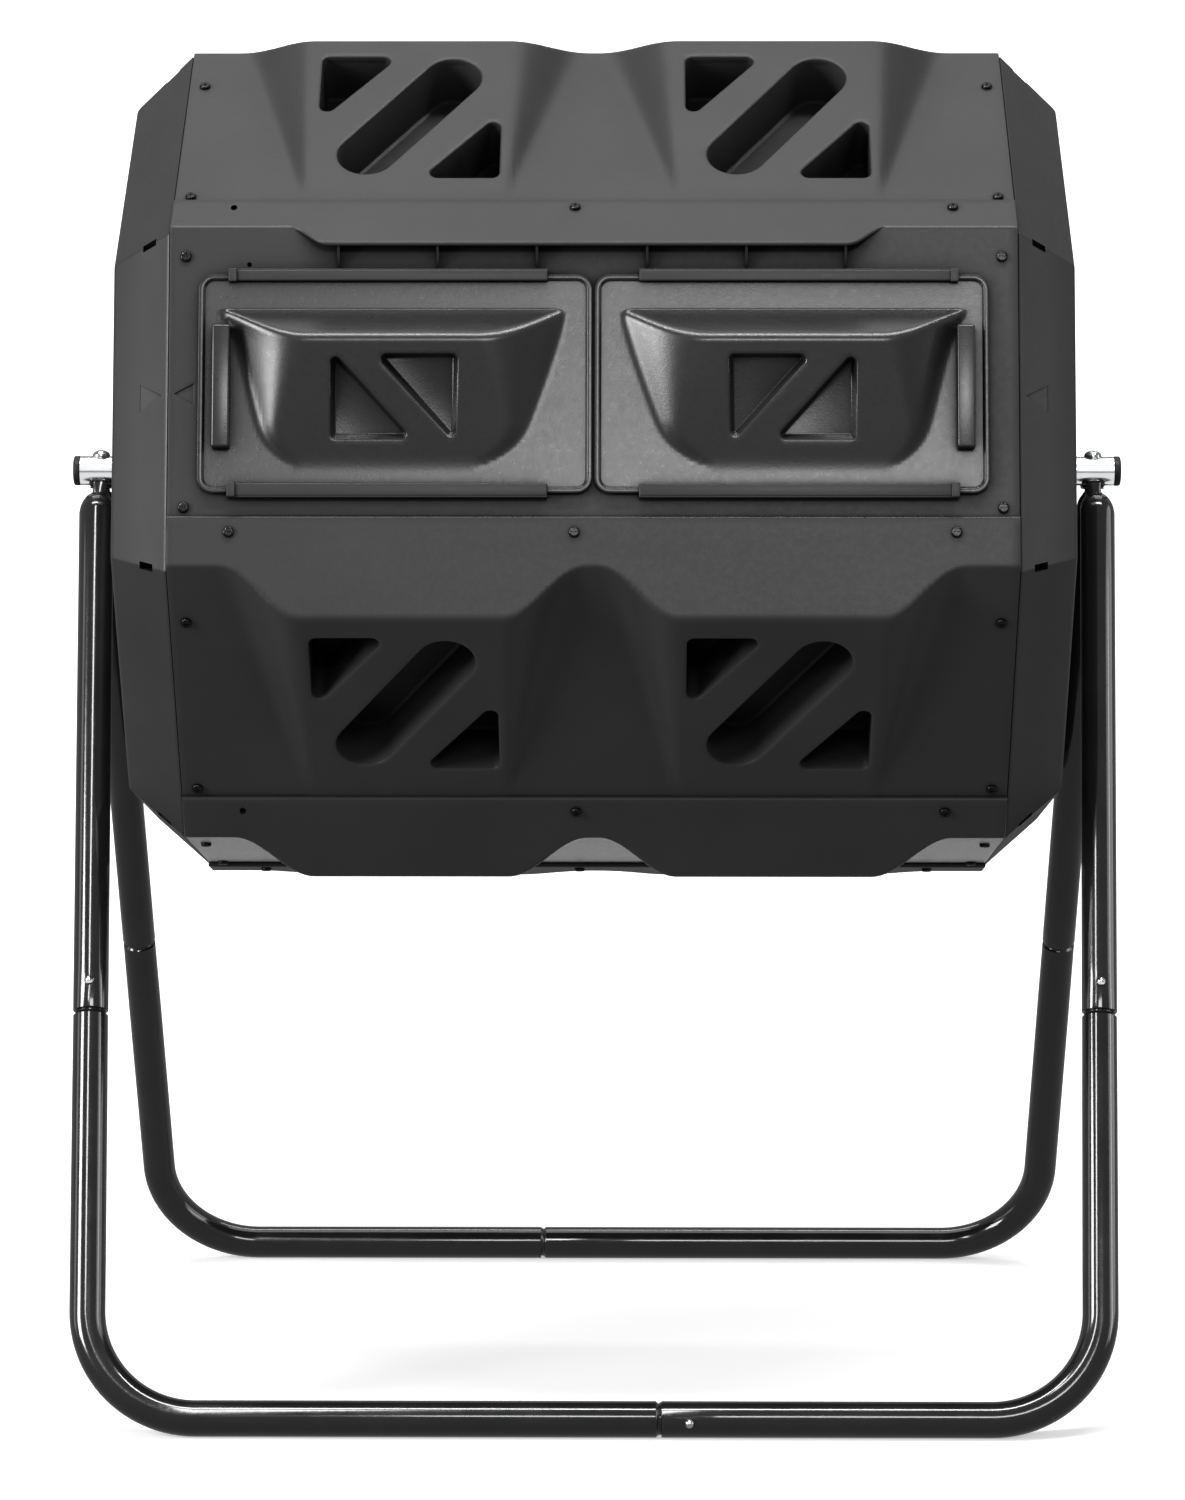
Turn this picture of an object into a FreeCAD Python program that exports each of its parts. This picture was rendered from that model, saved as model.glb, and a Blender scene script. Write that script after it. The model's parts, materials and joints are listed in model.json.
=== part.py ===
import FreeCAD, Part
import math
import os

# Two-chamber compost tumbler: an eight-sided drum that turns on a fixed axle in a
# four-legged tube stand.  Millimetres.  Origin on the floor under the axle's middle,
# +Z up, the loading doors face -Y, the axle runs along X.

V = FreeCAD.Vector

# stand
AXLE_Z = 608.0            # height of the axle's centre line
TUBE_R = 11.7             # leg tube, outside
TUBE_WALL = 1.5
INSERT_R = 10.0           # reduced tube end that enters the next tube
INSERT_LEN = 42.0
SHOULDER = 2.0            # full-bore step at the start of a reduced end
LEG_TOP_X = 342.3
LEG_TOP_Y = 15.3
LEG_TOP_DROP = 28.5       # centre of the leg's round top, below the axle
LEG_DOME = 16.0           # length of the round top
LEG_FOOT_X = 327.0
FOOT_Y = 276.0            # floor bars, front and rear
JOINT_Z = 259.0           # where upper and lower leg meet
BEND_R = 72.0
BAR_JOINT_X = 44.0        # front bar joint, the rear one is turned half a circle
NECK_GAP = 1.6            # bit of reduced tube left showing at a joint
BUTTON_INSET = 18.0       # snap button, from the edge of the outer tube

# snap buttons
BUTTON_R = 3.0
BUTTON_HOLE_R = 3.25
BUTTON_TOP = 14.7         # tip of the button, from the tube's centre line
BUTTON_FLANGE_R = 4.4
BUTTON_FLANGE = (5.8, 6.9)
SPRING_WIDTH = 6.0
SPRING_THICK = 0.6
SPRING_TOP = 0.8          # leaf under the button, from the tube's centre line
SPRING_TIP = 6.0          # leaf's free end past the button
SPRING_LEN = 22.0         # fold of the leaf, on the other side
SPRING_FOLD = 2.4

# axle
AXLE_R = 10.0
AXLE_WALL = 1.6
AXLE_HALF = 354.5
AXLE_CAP = 4.5
BOLT_X = 340.0
BOLT_R = 2.9
BOLT_HOLE_R = 3.1
SADDLE_T = 1.3
SADDLE_HALF_X = 8.0
NECK_HALF_X = 4.75
NECK_ARC = (51.0, 32.0)   # the neck leaves the saddle between these angles below level
NECK_ROOT = ((12.6, 15.0), (14.6, 22.0), (8.0, 22.0))  # run of the neck into the round top
AXLE_NUT_T = 3.2
AXLE_NUT_FLATS = 9.6
AXLE_BOLT_END = 17.5      # end of the bolt, below the axle's centre line

# drum
FACETS = 8
R_OUT = 285.0             # corner radius of the octagon
TILT = 12.6               # the door facet leans back by this many degrees
HALF = math.pi / FACETS
APOTHEM = R_OUT * math.cos(HALF)
SIDE = 2.0 * R_OUT * math.sin(HALF)
PANEL_T = 3.0
PANEL_HALF_X = 270.0
LAP_V = 183.0             # edge of the lapping flange, down the facet
CREASE_V = SIDE - PANEL_T
MAIN_END_V = 206.0        # panel's lower end, under the next flange
GAP = 0.1

# wedge-shaped swells on the wall panels, given from the swell's own middle
SWELL_X = (-121.0, 119.0)
SWELL_FOOT = 117.0
SWELL_TOP = (-65.0, 64.0)
SWELL_REACH = 34.0        # crest past the crease, in the flange's plane
SWELL_LOW_V = 180.0
SWELL_LOW = (-67.5, 66.5)
POCKET_DEPTH = 36.0
POCKET_ROUND = 5.0
POCKET_TRI = ((-59.5, 37.0), (-9.5, 37.0), (-59.5, 101.0))
POCKET_TRI_LOW = ((59.5, 157.0), (9.5, 157.0), (59.5, 93.5))
POCKET_SLOT = ((-27.0, 134.5), (27.0, 58.5))
POCKET_SLOT_R = 19.0

# door panel
HOOD_REACH = 19.0
HOOD_FOOT = (-195.0, 187.0)
HOOD_TOP = (-168.0, 161.0)
HOOD_RIBS = (-162.0, -99.0, -36.0, 34.0, 97.0, 160.0)
RIB_T = 1.6
DOORWAY_X = (32.0, 222.0)
DOORWAY_V = (41.0, 157.0)
DOORWAY_ROUND = 8.0
RAIL_X = (29.0, 231.0)
RAIL_WEB_TOP = (24.6, 27.2)
RAIL_LIP_TOP = (24.6, 33.0)
RAIL_WEB_LOW = (168.6, 171.4)
RAIL_LIP_LOW = (162.6, 171.4)
RAIL_LIP_H = (5.5, 8.0)

# doors, given for the right-hand door
DOOR_X = (0.7, 250.8)
DOOR_V = (27.6, 168.2)
DOOR_H = (0.4, 3.2)
DOOR_RIM_H = 5.0
DOOR_RIM_W = 3.6
DOOR_ROUND = 10.0
DOOR_FOOT_V = 50.0
DOOR_CREST = (71.0, 24.0)
DOOR_LOW_V = 150.0
DOOR_FOOT_X = (18.0, 238.6)
DOOR_DRAW = (34.0, 22.0)
DOOR_DRAW_POWER = (1.2, 1.3)
DOOR_SHOULDER = 12.0
DOOR_CORNER = (24.0, 18.0)
DOOR_CORNER_V = 118.0
DOOR_SIDE_RUN = (2.74, 2.12)
DOOR_BASE_H = 1.0
DOOR_TRI_INNER = ((86.0, 82.5), (137.5, 82.5), (87.0, 136.5))
DOOR_TRI_OUTER = ((166.0, 134.0), (114.5, 134.0), (165.5, 80.0))
DOOR_TRI_DEPTH = 6.0
DOOR_TRI_ROUND = 3.0
GRIP_X = (230.0, 241.4)
GRIP_V = (61.5, 140.0)
GRIP_H = 13.5

# end caps
CAP_HALF_X = 309.0        # outer face
CAP_FACE_R = 248.0
CAP_T = 3.0
SKIRT_X = 245.0
HUB_R = 17.0
HUB_BORE_R = 10.07
HUB_X = (284.0, 312.5)
VENT = (9.0, 5.0)
VENT_X = 284.0
VENT_REACH = 28.0
MARK_X = (274.5, 289.5)
MARK_Z = (-4.0, 5.0, 14.0)
MARK_DEPTH = 0.8

# divider between the chambers
DIVIDER_T = 3.0
RIM_X = 19.0

# screws and nuts
SCREW_R = 1.95
SCREW_HOLE_R = 2.25
SCREW_HEAD_R = 3.5
SCREW_HEAD_H = 2.2
SCREW_LEN = 13.0
NUT_R = 4.0
NUT_T = 2.8
NUT_BORE_R = 2.0
SEAM_V = 193.0
SEAM_X = (-230.5, -12.0, 229.5)
END_X = 259.5
END_V = (40.0, 176.0)
DOOR_END_V = (15.4, 177.0)
EMPTY_HOLES = ((7, 0), (1, 0))


def at(u, v, h):
    """Point on a facet that faces -Y: u along the axle, v down the facet, h outward."""
    return V(u, -(APOTHEM + h), SIDE / 2.0 - v)


def prev(u, v, h):
    """The same on the facet one step above."""
    p = at(u, v, h)
    c = math.cos(2.0 * HALF)
    s = math.sin(2.0 * HALF)
    return V(u, c * p.y + s * p.z, c * p.z - s * p.y)


def place(shape, facet):
    """Turn a shape from the -Y facet to its own facet and lift it to the axle."""
    out = shape.copy()
    out.rotate(V(0, 0, 0), V(1, 0, 0), math.degrees(2.0 * HALF) * facet - TILT)
    out.translate(V(0, 0, AXLE_Z))
    return out


def fuse(shapes):
    """One solid from shapes that overlap."""
    return shapes[0].fuse(shapes[1:]).removeSplitter()


def save(shape, node):
    shape.exportStep(os.path.join("parts", node + ".step"))


def prism(points, direction):
    """Extrude a closed polygon."""
    face = Part.Face(Part.makePolygon(points + [points[0]]))
    return face.extrude(direction)


def rod(a, b, radius):
    """Cylinder from point a to point b."""
    return Part.makeCylinder(radius, (b - a).Length, a, b - a)


def pipe(a, b, outer, inner):
    """Open tube from point a to point b."""
    way = (b - a).normalize()
    return rod(a, b, outer).cut(rod(a - way, b + way, inner))


def octagon(x, radius):
    """Octagon across the axle at x, turned as the drum's facets are in their own frame."""
    points = []
    for i in range(FACETS):
        turn = HALF * (2 * i + 1)
        points.append(V(x, radius * math.cos(turn), radius * math.sin(turn)))
    return Part.makePolygon(points + [points[0]])


def octagon_block(x0, r0, x1, r1):
    """Solid frustum between two octagons."""
    return Part.makeLoft([octagon(x0, r0), octagon(x1, r1)], True, True)


def rounded(points, radius):
    """Closed wire through the points, its corners rounded."""
    edges = []
    ends = []
    count = len(points)
    for i in range(count):
        here = points[i]
        back = (points[i - 1] - here).normalize()
        ahead = (points[(i + 1) % count] - here).normalize()
        half = back.getAngle(ahead) / 2.0
        reach = radius / math.tan(half)
        middle = here + (back + ahead).normalize() * (radius / math.sin(half) - radius)
        a = here + back * reach
        b = here + ahead * reach
        edges.append(Part.Arc(a, middle, b).toShape())
        ends.append((a, b))
    for i in range(count):
        start = ends[i][1]
        stop = ends[(i + 1) % count][0]
        edges.insert(2 * i + 1, Part.makeLine(start, stop))
    return Part.Wire(edges)


def stadium(a, b, radius, normal):
    """Slot outline with round ends."""
    way = (b - a).normalize()
    side = normal.cross(way).normalize() * radius
    tip = way * radius
    return Part.Wire([
        Part.makeLine(a + side, b + side),
        Part.Arc(b + side, b + tip, b - side).toShape(),
        Part.makeLine(b - side, a - side),
        Part.Arc(a - side, a - tip, a + side).toShape(),
    ])


# ---------------------------------------------------------------- swells

def swell_curve(u_foot, u_top, foot, crest):
    """S-shaped edge from the foot line to the crest line."""
    steps = 8
    points = []
    for i in range(steps + 1):
        share = i / steps
        rise = (1.0 - math.cos(math.pi * share)) / 2.0
        u = u_foot + (u_top - u_foot) * share
        v = foot[0] + (crest[0] - foot[0]) * rise
        h = foot[1] + (crest[1] - foot[1]) * rise
        points.append(at(u, v, h))
    spline = Part.BSplineCurve()
    spline.interpolate(points)
    return spline.toShape()


def swell_wire(u, foot, crest):
    """Closed outline of a swell across the facet; u holds foot, top, top, foot."""
    left = swell_curve(u[0], u[1], foot, crest)
    right = swell_curve(u[3], u[2], foot, crest)
    return Part.Wire([
        left,
        Part.makeLine(at(u[1], crest[0], crest[1]), at(u[2], crest[0], crest[1])),
        right,
        Part.makeLine(at(u[3], foot[0], foot[1]), at(u[0], foot[0], foot[1])),
    ])


def swell(u_high, foot, crest, u_low, low_v, low_h):
    """Wedge that is tall at the crest and dies out at low_v."""
    high = swell_wire(u_high, foot, crest)
    low = swell_wire(u_low, (low_v, low_h - 0.6), (low_v + 0.4, low_h))
    return Part.makeLoft([high, low], True, True)


def pocket(outline, normal, depth, lead):
    """Prism through the swell's face: starts lead above it and goes depth below."""
    face = Part.Face(outline)
    face.translate(normal * lead)
    return face.extrude(normal * -(lead + depth))


def on_slope(points, high, low):
    """Facet points lifted onto the slope that runs from high to low, each (v, h)."""
    fall = (low[1] - high[1]) / (low[0] - high[0])
    return [at(u, v, high[1] + fall * (v - high[0])) for u, v in points]


def slope_normal(high, low):
    """Outward normal of that slope."""
    down = at(0, low[0], low[1]) - at(0, high[0], high[1])
    return down.cross(V(1, 0, 0)).normalize()


def inward(thickness):
    """Shift that leaves this wall on the facet and on the slope one step above."""
    return V(0, thickness, -thickness * math.tan(HALF))


def pocket_pair(outline, normal, depth, wall):
    """Closed-floor pocket: its outside with the wall, and its inside."""
    shell = pocket(outline.makeOffset2D(wall), normal, depth + wall, -0.4)
    return shell, pocket(outline, normal, depth, 4.0)


# ---------------------------------------------------------------- panels

def panel_block(top_v, end_v, half_x):
    """Solid behind a panel's outside: flange facet, crease and main facet."""
    deep = -60.0
    points = [
        prev(-half_x, top_v, PANEL_T),
        prev(-half_x, CREASE_V, PANEL_T),
        at(-half_x, end_v, 0),
        at(-half_x, end_v, deep),
        prev(-half_x, top_v, deep),
    ]
    return prism(points, V(2.0 * half_x, 0, 0))


def panel_bounds():
    """Space a plain panel may fill, from its flange edge to its lower end."""
    low = -70.0
    high = 60.0
    points = [
        prev(-PANEL_HALF_X, LAP_V, high),
        prev(-PANEL_HALF_X, SIDE + high, high),
        at(-PANEL_HALF_X, MAIN_END_V, high),
        at(-PANEL_HALF_X, MAIN_END_V, low),
        prev(-PANEL_HALF_X, LAP_V, low),
    ]
    return prism(points, V(2.0 * PANEL_HALF_X, 0, 0))


def crease_point(reach):
    """Facet coordinates (v, h) of the point this far past the crease, in the flange's plane."""
    shift = PANEL_T / math.sin(2.0 * HALF)
    flat = reach * math.cos(2.0 * HALF)
    return flat - shift, reach * math.sin(2.0 * HALF)


def panel_skin(swells):
    """Bent sheet of even wall with the swells raised in it."""
    outside = fuse([panel_block(LAP_V - 20.0, MAIN_END_V + 20.0, PANEL_HALF_X + 1.0)] + swells)
    inside = outside.copy()
    inside.translate(inward(PANEL_T))
    return outside.cut(inside).common(panel_bounds())


def hole(u, v, facet_point, radius=SCREW_HOLE_R):
    """Drill across a facet."""
    return rod(facet_point(u, v, -20.0), facet_point(u, v, 20.0), radius)


def panel_holes(end_rows):
    """Screw holes: the flange's row, the lower end's row and the two ends."""
    drills = [hole(u, SEAM_V, prev) for u in SEAM_X]
    drills += [hole(u, SEAM_V, at) for u in SEAM_X]
    drills += [hole(side * END_X, v, at) for side in (-1, 1) for v in end_rows]
    return drills


def wall_panel():
    """Panel with two swells, each with two triangular pockets and a slanted slot."""
    foot = crease_point(0.0)
    crest = crease_point(SWELL_REACH)
    low = (SWELL_LOW_V, -0.4)
    swells = []
    shells = []
    hollows = []
    normal = slope_normal(crest, low)
    for middle in SWELL_X:
        high_u = (middle - SWELL_FOOT, middle + SWELL_TOP[0], middle + SWELL_TOP[1], middle + SWELL_FOOT)
        low_u = (middle + SWELL_LOW[0], middle + SWELL_TOP[0], middle + SWELL_TOP[1], middle + SWELL_LOW[1])
        swells.append(swell(high_u, foot, crest, low_u, SWELL_LOW_V, low[1]))
        outlines = []
        for corners in (POCKET_TRI, POCKET_TRI_LOW):
            moved = [(middle + u, v) for u, v in corners]
            outlines.append(rounded(on_slope(moved, crest, low), POCKET_ROUND))
        ends = on_slope([(middle + u, v) for u, v in POCKET_SLOT], crest, low)
        outlines.append(stadium(ends[0], ends[1], POCKET_SLOT_R, normal))
        for outline in outlines:
            shell, hollow = pocket_pair(outline, normal, POCKET_DEPTH, PANEL_T)
            shells.append(shell)
            hollows.append(hollow)
    skin = fuse([panel_skin(swells)] + shells)
    return skin.cut(hollows + panel_holes(END_V))


def hood():
    """Lip that carries the flange's plane past the crease, with ribs under it."""
    top = prev(0, CREASE_V - 2.0, PANEL_T)
    outline = []
    spans = ((HOOD_FOOT[0], HOOD_TOP[0]), (HOOD_FOOT[1], HOOD_TOP[1]))
    for foot, crest in spans:
        points = []
        steps = 8
        for i in range(steps + 1):
            share = i / steps
            rise = (1.0 - math.cos(math.pi * share)) / 2.0
            points.append(prev(foot + (crest - foot) * share, CREASE_V + HOOD_REACH * rise, PANEL_T))
        spline = Part.BSplineCurve()
        spline.interpolate(points)
        outline.append((spline.toShape(), points))
    left, right = outline
    corner_l = V(HOOD_FOOT[0], top.y, top.z)
    corner_r = V(HOOD_FOOT[1], top.y, top.z)
    wire = Part.Wire([
        left[0],
        Part.makeLine(left[1][-1], right[1][-1]),
        right[0],
        Part.makeLine(right[1][0], corner_r),
        Part.makeLine(corner_r, corner_l),
        Part.makeLine(corner_l, left[1][0]),
    ])
    depth = prev(0, 0, 0) - prev(0, 0, PANEL_T)
    lip = Part.Face(wire).extrude(depth)
    ribs = []
    for u in HOOD_RIBS:
        points = [
            prev(u, CREASE_V, 0.5),
            prev(u, CREASE_V + HOOD_REACH - 1.5, 0.5),
            at(u, 23.5, 1.5),
            at(u, 23.5, -1.0),
            at(u, 0.5, -1.0),
        ]
        ribs.append(prism([p - V(RIB_T / 2.0, 0, 0) for p in points], V(RIB_T, 0, 0)))
    return [lip] + ribs


def facet_box(u, v, h):
    """Box on the facet, each given as (low, high)."""
    points = [at(u[0], v[0], h[0]), at(u[1], v[0], h[0]), at(u[1], v[1], h[0]), at(u[0], v[1], h[0])]
    return prism(points, V(0, h[0] - h[1], 0))


def rails(side):
    """Top and bottom rail of one door: a web and a lip over the door's edge."""
    u = sorted((side * RAIL_X[0], side * RAIL_X[1]))
    web_h = (-1.0, RAIL_LIP_H[1])
    out = []
    for web, lip in ((RAIL_WEB_TOP, RAIL_LIP_TOP), (RAIL_WEB_LOW, RAIL_LIP_LOW)):
        out.append(facet_box(u, web, web_h).fuse(facet_box(u, lip, RAIL_LIP_H)).removeSplitter())
    return out


def arrow(tip_u, back_u, v, depth):
    """Shallow triangle mark cut into a facet."""
    half = 7.0
    points = [at(tip_u, v, 1.0), at(back_u, v - half, 1.0), at(back_u, v + half, 1.0)]
    return prism(points, V(0, 1.0 + depth, 0))


def door_panel():
    """Panel with two doorways, the hood over them and the door rails."""
    body = fuse([panel_skin([])] + hood() + rails(-1) + rails(1))
    cuts = panel_holes(DOOR_END_V)
    for side in (-1, 1):
        corners = [(DOORWAY_X[0], DOORWAY_V[0]), (DOORWAY_X[1], DOORWAY_V[0]),
                   (DOORWAY_X[1], DOORWAY_V[1]), (DOORWAY_X[0], DOORWAY_V[1])]
        outline = rounded([at(side * u, v, 20.0) for u, v in corners], DOORWAY_ROUND)
        cuts.append(Part.Face(outline).extrude(V(0, 40.0, 0)))
    cuts.append(hole(-219.0, 20.5, at, 1.6))
    cuts.append(arrow(-266.5, -253.5, 104.0, 0.7))
    return body.cut(cuts)


def door_foot(v):
    """Inner and outer foot of the swell: drawn in downward, with round lower corners."""
    down = max(0.0, (v - DOOR_FOOT_V) / (DOOR_LOW_V - DOOR_FOOT_V))
    corner = max(0.0, (v - DOOR_CORNER_V) / (DOOR_LOW_V - DOOR_CORNER_V)) ** 3
    shoulder = DOOR_SHOULDER * (1.0 - math.exp(-8.0 * down))
    inner = DOOR_FOOT_X[0] + DOOR_DRAW[0] * down ** DOOR_DRAW_POWER[0] + DOOR_CORNER[0] * corner
    outer = DOOR_FOOT_X[1] - DOOR_DRAW[1] * down ** DOOR_DRAW_POWER[1] - DOOR_CORNER[1] * corner
    return inner, outer - shoulder


def door_outline(h):
    """Outline of the swell's sides at one height; the sides lean in as they rise."""
    left = []
    right = []
    for step in (-3.0, 0.0, 4.0, 9.0, 16.0, 28.0, 42.0, 56.0, 68.0, 78.0, 86.0, 93.0, 98.0, 101.5):
        v = DOOR_FOOT_V + step
        inner, outer = door_foot(v)
        left.append(at(inner + DOOR_SIDE_RUN[0] * (h - DOOR_H[1]), v, h))
        right.append(at(outer - DOOR_SIDE_RUN[1] * (h - DOOR_H[1]), v, h))
    sides = []
    for points in (left, right):
        spline = Part.BSplineCurve()
        spline.interpolate(points)
        sides.append(spline.toShape())
    return Part.Wire([sides[0], Part.makeLine(left[-1], right[-1]),
                      sides[1], Part.makeLine(right[0], left[0])])


def door_bulge(foot, low):
    """Swell of a door: its leaning sides, cut to the upper face and the front."""
    sides = Part.makeLoft([door_outline(DOOR_BASE_H), door_outline(DOOR_CREST[1])], True, True)
    rise = (DOOR_CREST[1] - foot[1]) / (DOOR_CREST[0] - foot[0])
    fall = (DOOR_CREST[1] - low[1]) / (low[0] - DOOR_CREST[0])
    start = foot[0] - (foot[1] - DOOR_BASE_H) / rise
    end = low[0] + (low[1] - DOOR_BASE_H) / fall
    corners = [at(0, start, DOOR_BASE_H), at(0, *DOOR_CREST), at(0, end, DOOR_BASE_H)]
    wedge = prism(corners, V(DOOR_X[1], 0, 0))
    return sides.common(wedge)


def door():
    """Right-hand sliding door: rimmed plate, swell with two triangle recesses, grip bar."""
    corners = [(DOOR_X[0], DOOR_V[0]), (DOOR_X[1], DOOR_V[0]), (DOOR_X[1], DOOR_V[1]), (DOOR_X[0], DOOR_V[1])]
    outline = rounded([at(u, v, DOOR_H[0]) for u, v in corners], DOOR_ROUND)
    plate = Part.Face(outline).extrude(V(0, DOOR_H[0] - DOOR_H[1], 0))
    rim = Part.Face(outline).extrude(V(0, DOOR_H[0] - DOOR_RIM_H, 0))
    rim = rim.cut(Part.Face(outline.makeOffset2D(-DOOR_RIM_W)).extrude(V(0, -DOOR_RIM_H, 0)))
    foot = (DOOR_FOOT_V, DOOR_H[1])
    low = (DOOR_LOW_V, DOOR_H[1] + 0.4)
    bulge = door_bulge(foot, low)
    wall = DOOR_H[1] - DOOR_H[0]
    hollow = bulge.copy()
    hollow.translate(inward(wall))
    normal = slope_normal(DOOR_CREST, low)
    shells = []
    pits = []
    for triangle in (DOOR_TRI_INNER, DOOR_TRI_OUTER):
        edge = rounded(on_slope(triangle, DOOR_CREST, low), DOOR_TRI_ROUND)
        shell, pit = pocket_pair(edge, normal, DOOR_TRI_DEPTH, wall)
        shells.append(shell)
        pits.append(pit)
    behind = facet_box((0.0, 260.0), (20.0, 180.0), (-20.0, DOOR_H[0]))
    skin = fuse([plate.fuse(bulge), rim])
    skin = skin.cut(hollow)
    skin = fuse([skin] + [s.cut(behind) for s in shells])
    skin = skin.cut(pits)
    return fuse([skin, grip()])


def grip():
    """Raised bar to pull the door by, its edges chamfered."""
    base = facet_box(GRIP_X, GRIP_V, (1.0, GRIP_H))
    top = [e for e in base.Edges if all(abs(p.Point.y + APOTHEM + GRIP_H) < 0.01 for p in e.Vertexes)]
    return base.makeChamfer(2.0, top)


# ---------------------------------------------------------------- drum ends and divider

def shell_r(depth):
    """Corner radius of the octagon this far inside the panels' outside."""
    return R_OUT - depth / math.cos(HALF)


def end_holes():
    """Screw holes through a skirt on every facet, in the drum's frame."""
    drills = []
    for facet in range(FACETS):
        rows = DOOR_END_V if facet == 0 else END_V
        for v in rows:
            drill = hole(END_X, v, at)
            drill.rotate(V(0, 0, 0), V(1, 0, 0), math.degrees(2.0 * HALF) * facet)
            drills.append(drill)
    return drills


def end_cap():
    """Dished octagonal end for the +X side, with its skirt, hub and vents."""
    edge_x = PANEL_HALF_X + GAP
    skirt_r = shell_r(PANEL_T + GAP)
    dish = octagon_block(edge_x, R_OUT, CAP_HALF_X, CAP_FACE_R)
    skirt = octagon_block(SKIRT_X, skirt_r, edge_x, skirt_r)
    inner_skirt = octagon_block(SKIRT_X - 1.0, skirt_r - CAP_T, edge_x + 1.0, skirt_r - CAP_T)
    inner_face = CAP_FACE_R - CAP_T / math.cos(HALF)
    inner_dish = octagon_block(edge_x, R_OUT - 2.0 * CAP_T, CAP_HALF_X - CAP_T, inner_face)
    shell = dish.fuse(skirt).cut(inner_skirt.fuse(inner_dish))
    hub = rod(V(HUB_X[0], 0, 0), V(HUB_X[1], 0, 0), HUB_R)
    bore = rod(V(HUB_X[0] - 1, 0, 0), V(HUB_X[1] + 1, 0, 0), HUB_BORE_R)
    cuts = [bore] + end_holes()
    for facet in range(FACETS):
        slot = Part.makeBox(VENT[0], VENT_REACH, VENT[1])
        slot.translate(V(VENT_X - VENT[0] / 2.0, -R_OUT - 6.0, -VENT[1] / 2.0))
        slot.rotate(V(0, 0, 0), V(1, 0, 0), math.degrees(HALF) * (2 * facet + 1))
        cuts.append(slot)
    slope = (R_OUT - CAP_FACE_R) * math.cos(HALF) / (CAP_HALF_X - edge_x)
    mark = [(MARK_X[0], MARK_Z[1]), (MARK_X[1], MARK_Z[0]), (MARK_X[1], MARK_Z[2])]
    mark = [V(x, -APOTHEM + slope * (x - edge_x) + MARK_DEPTH, z) for x, z in mark]
    cuts.append(prism(mark, V(0, -VENT_REACH, 0)))
    return fuse([shell, hub]).cut(cuts)


def divider():
    """Wall between the two chambers with a screwed rim and a hub."""
    rim_r = shell_r(PANEL_T + GAP)
    plate = octagon_block(-DIVIDER_T / 2.0, rim_r, DIVIDER_T / 2.0, rim_r)
    rim = octagon_block(-RIM_X, rim_r, 0, rim_r)
    rim = rim.cut(octagon_block(-RIM_X - 1.0, rim_r - CAP_T, 1.0, rim_r - CAP_T))
    hub = rod(V(-12, 0, 0), V(12, 0, 0), HUB_R)
    cuts = [rod(V(-20, 0, 0), V(20, 0, 0), HUB_BORE_R)]
    for facet in range(FACETS):
        drill = hole(SEAM_X[1], SEAM_V, at)
        drill.rotate(V(0, 0, 0), V(1, 0, 0), math.degrees(2.0 * HALF) * facet)
        cuts.append(drill)
    return fuse([plate, rim, hub]).cut(cuts)


# ---------------------------------------------------------------- panel fixings

def screw(u, v, h):
    """Pan-head screw with a cross recess, driven straight into a facet."""
    shank = rod(at(u, v, h - SCREW_LEN), at(u, v, h + 0.5), SCREW_R)
    head = rod(at(u, v, h), at(u, v, h + SCREW_HEAD_H), SCREW_HEAD_R)
    rim = [e for e in head.Edges if abs(e.BoundBox.YMin + APOTHEM + h + SCREW_HEAD_H) < 0.01
           and e.BoundBox.YLength < 0.01]
    head = head.makeFillet(1.2, rim[:1])
    arms = []
    for du, dv in ((2.0, 0.35), (0.35, 2.0)):
        arms.append(facet_box((u - du, u + du), (v - dv, v + dv), (h + 0.9, h + 4.0)))
    return head.fuse(shank).removeSplitter().cut(arms)


def nut(u, v, h):
    """Hexagon nut whose outer face lies at h."""
    points = []
    for i in range(6):
        turn = math.radians(60 * i)
        points.append(at(u + NUT_R * math.cos(turn), v + NUT_R * math.sin(turn), h))
    return prism(points, V(0, NUT_T, 0)).cut(rod(at(u, v, h - 9.0), at(u, v, h + 9.0), NUT_BORE_R))


def panel_fixings():
    """All panel screws and their nuts, in place."""
    screws = []
    nuts = []
    for facet in range(FACETS):
        for i, u in enumerate(SEAM_X):
            if (facet, i) in EMPTY_HOLES:
                continue
            stack = -PANEL_T if i != 1 else -2.0 * PANEL_T - GAP
            screws.append(place(screw(u, SEAM_V, PANEL_T), facet))
            nuts.append(place(nut(u, SEAM_V, stack - GAP), facet))
        rows = DOOR_END_V if facet == 0 else END_V
        for v in rows:
            for side in (-1, 1):
                screws.append(place(screw(side * END_X, v, 0.0), facet))
                nuts.append(place(nut(side * END_X, v, -2.0 * PANEL_T - 2.0 * GAP), facet))
    return Part.Compound(screws), Part.Compound(nuts)


# ---------------------------------------------------------------- stand

def leg_top(sx, sy):
    return V(sx * LEG_TOP_X, sy * LEG_TOP_Y, AXLE_Z - LEG_TOP_DROP)


def leg_foot(sx, sy):
    return V(sx * LEG_FOOT_X, sy * FOOT_Y, TUBE_R)


def leg_way(sx, sy):
    """Direction down the leg."""
    return (leg_foot(sx, sy) - leg_top(sx, sy)).normalize()


def leg_joint(sx, sy):
    """Lower edge of the upper leg, on its centre line."""
    way = leg_way(sx, sy)
    return leg_top(sx, sy) + way * ((leg_top(sx, sy).z - JOINT_Z) / -way.z)


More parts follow.
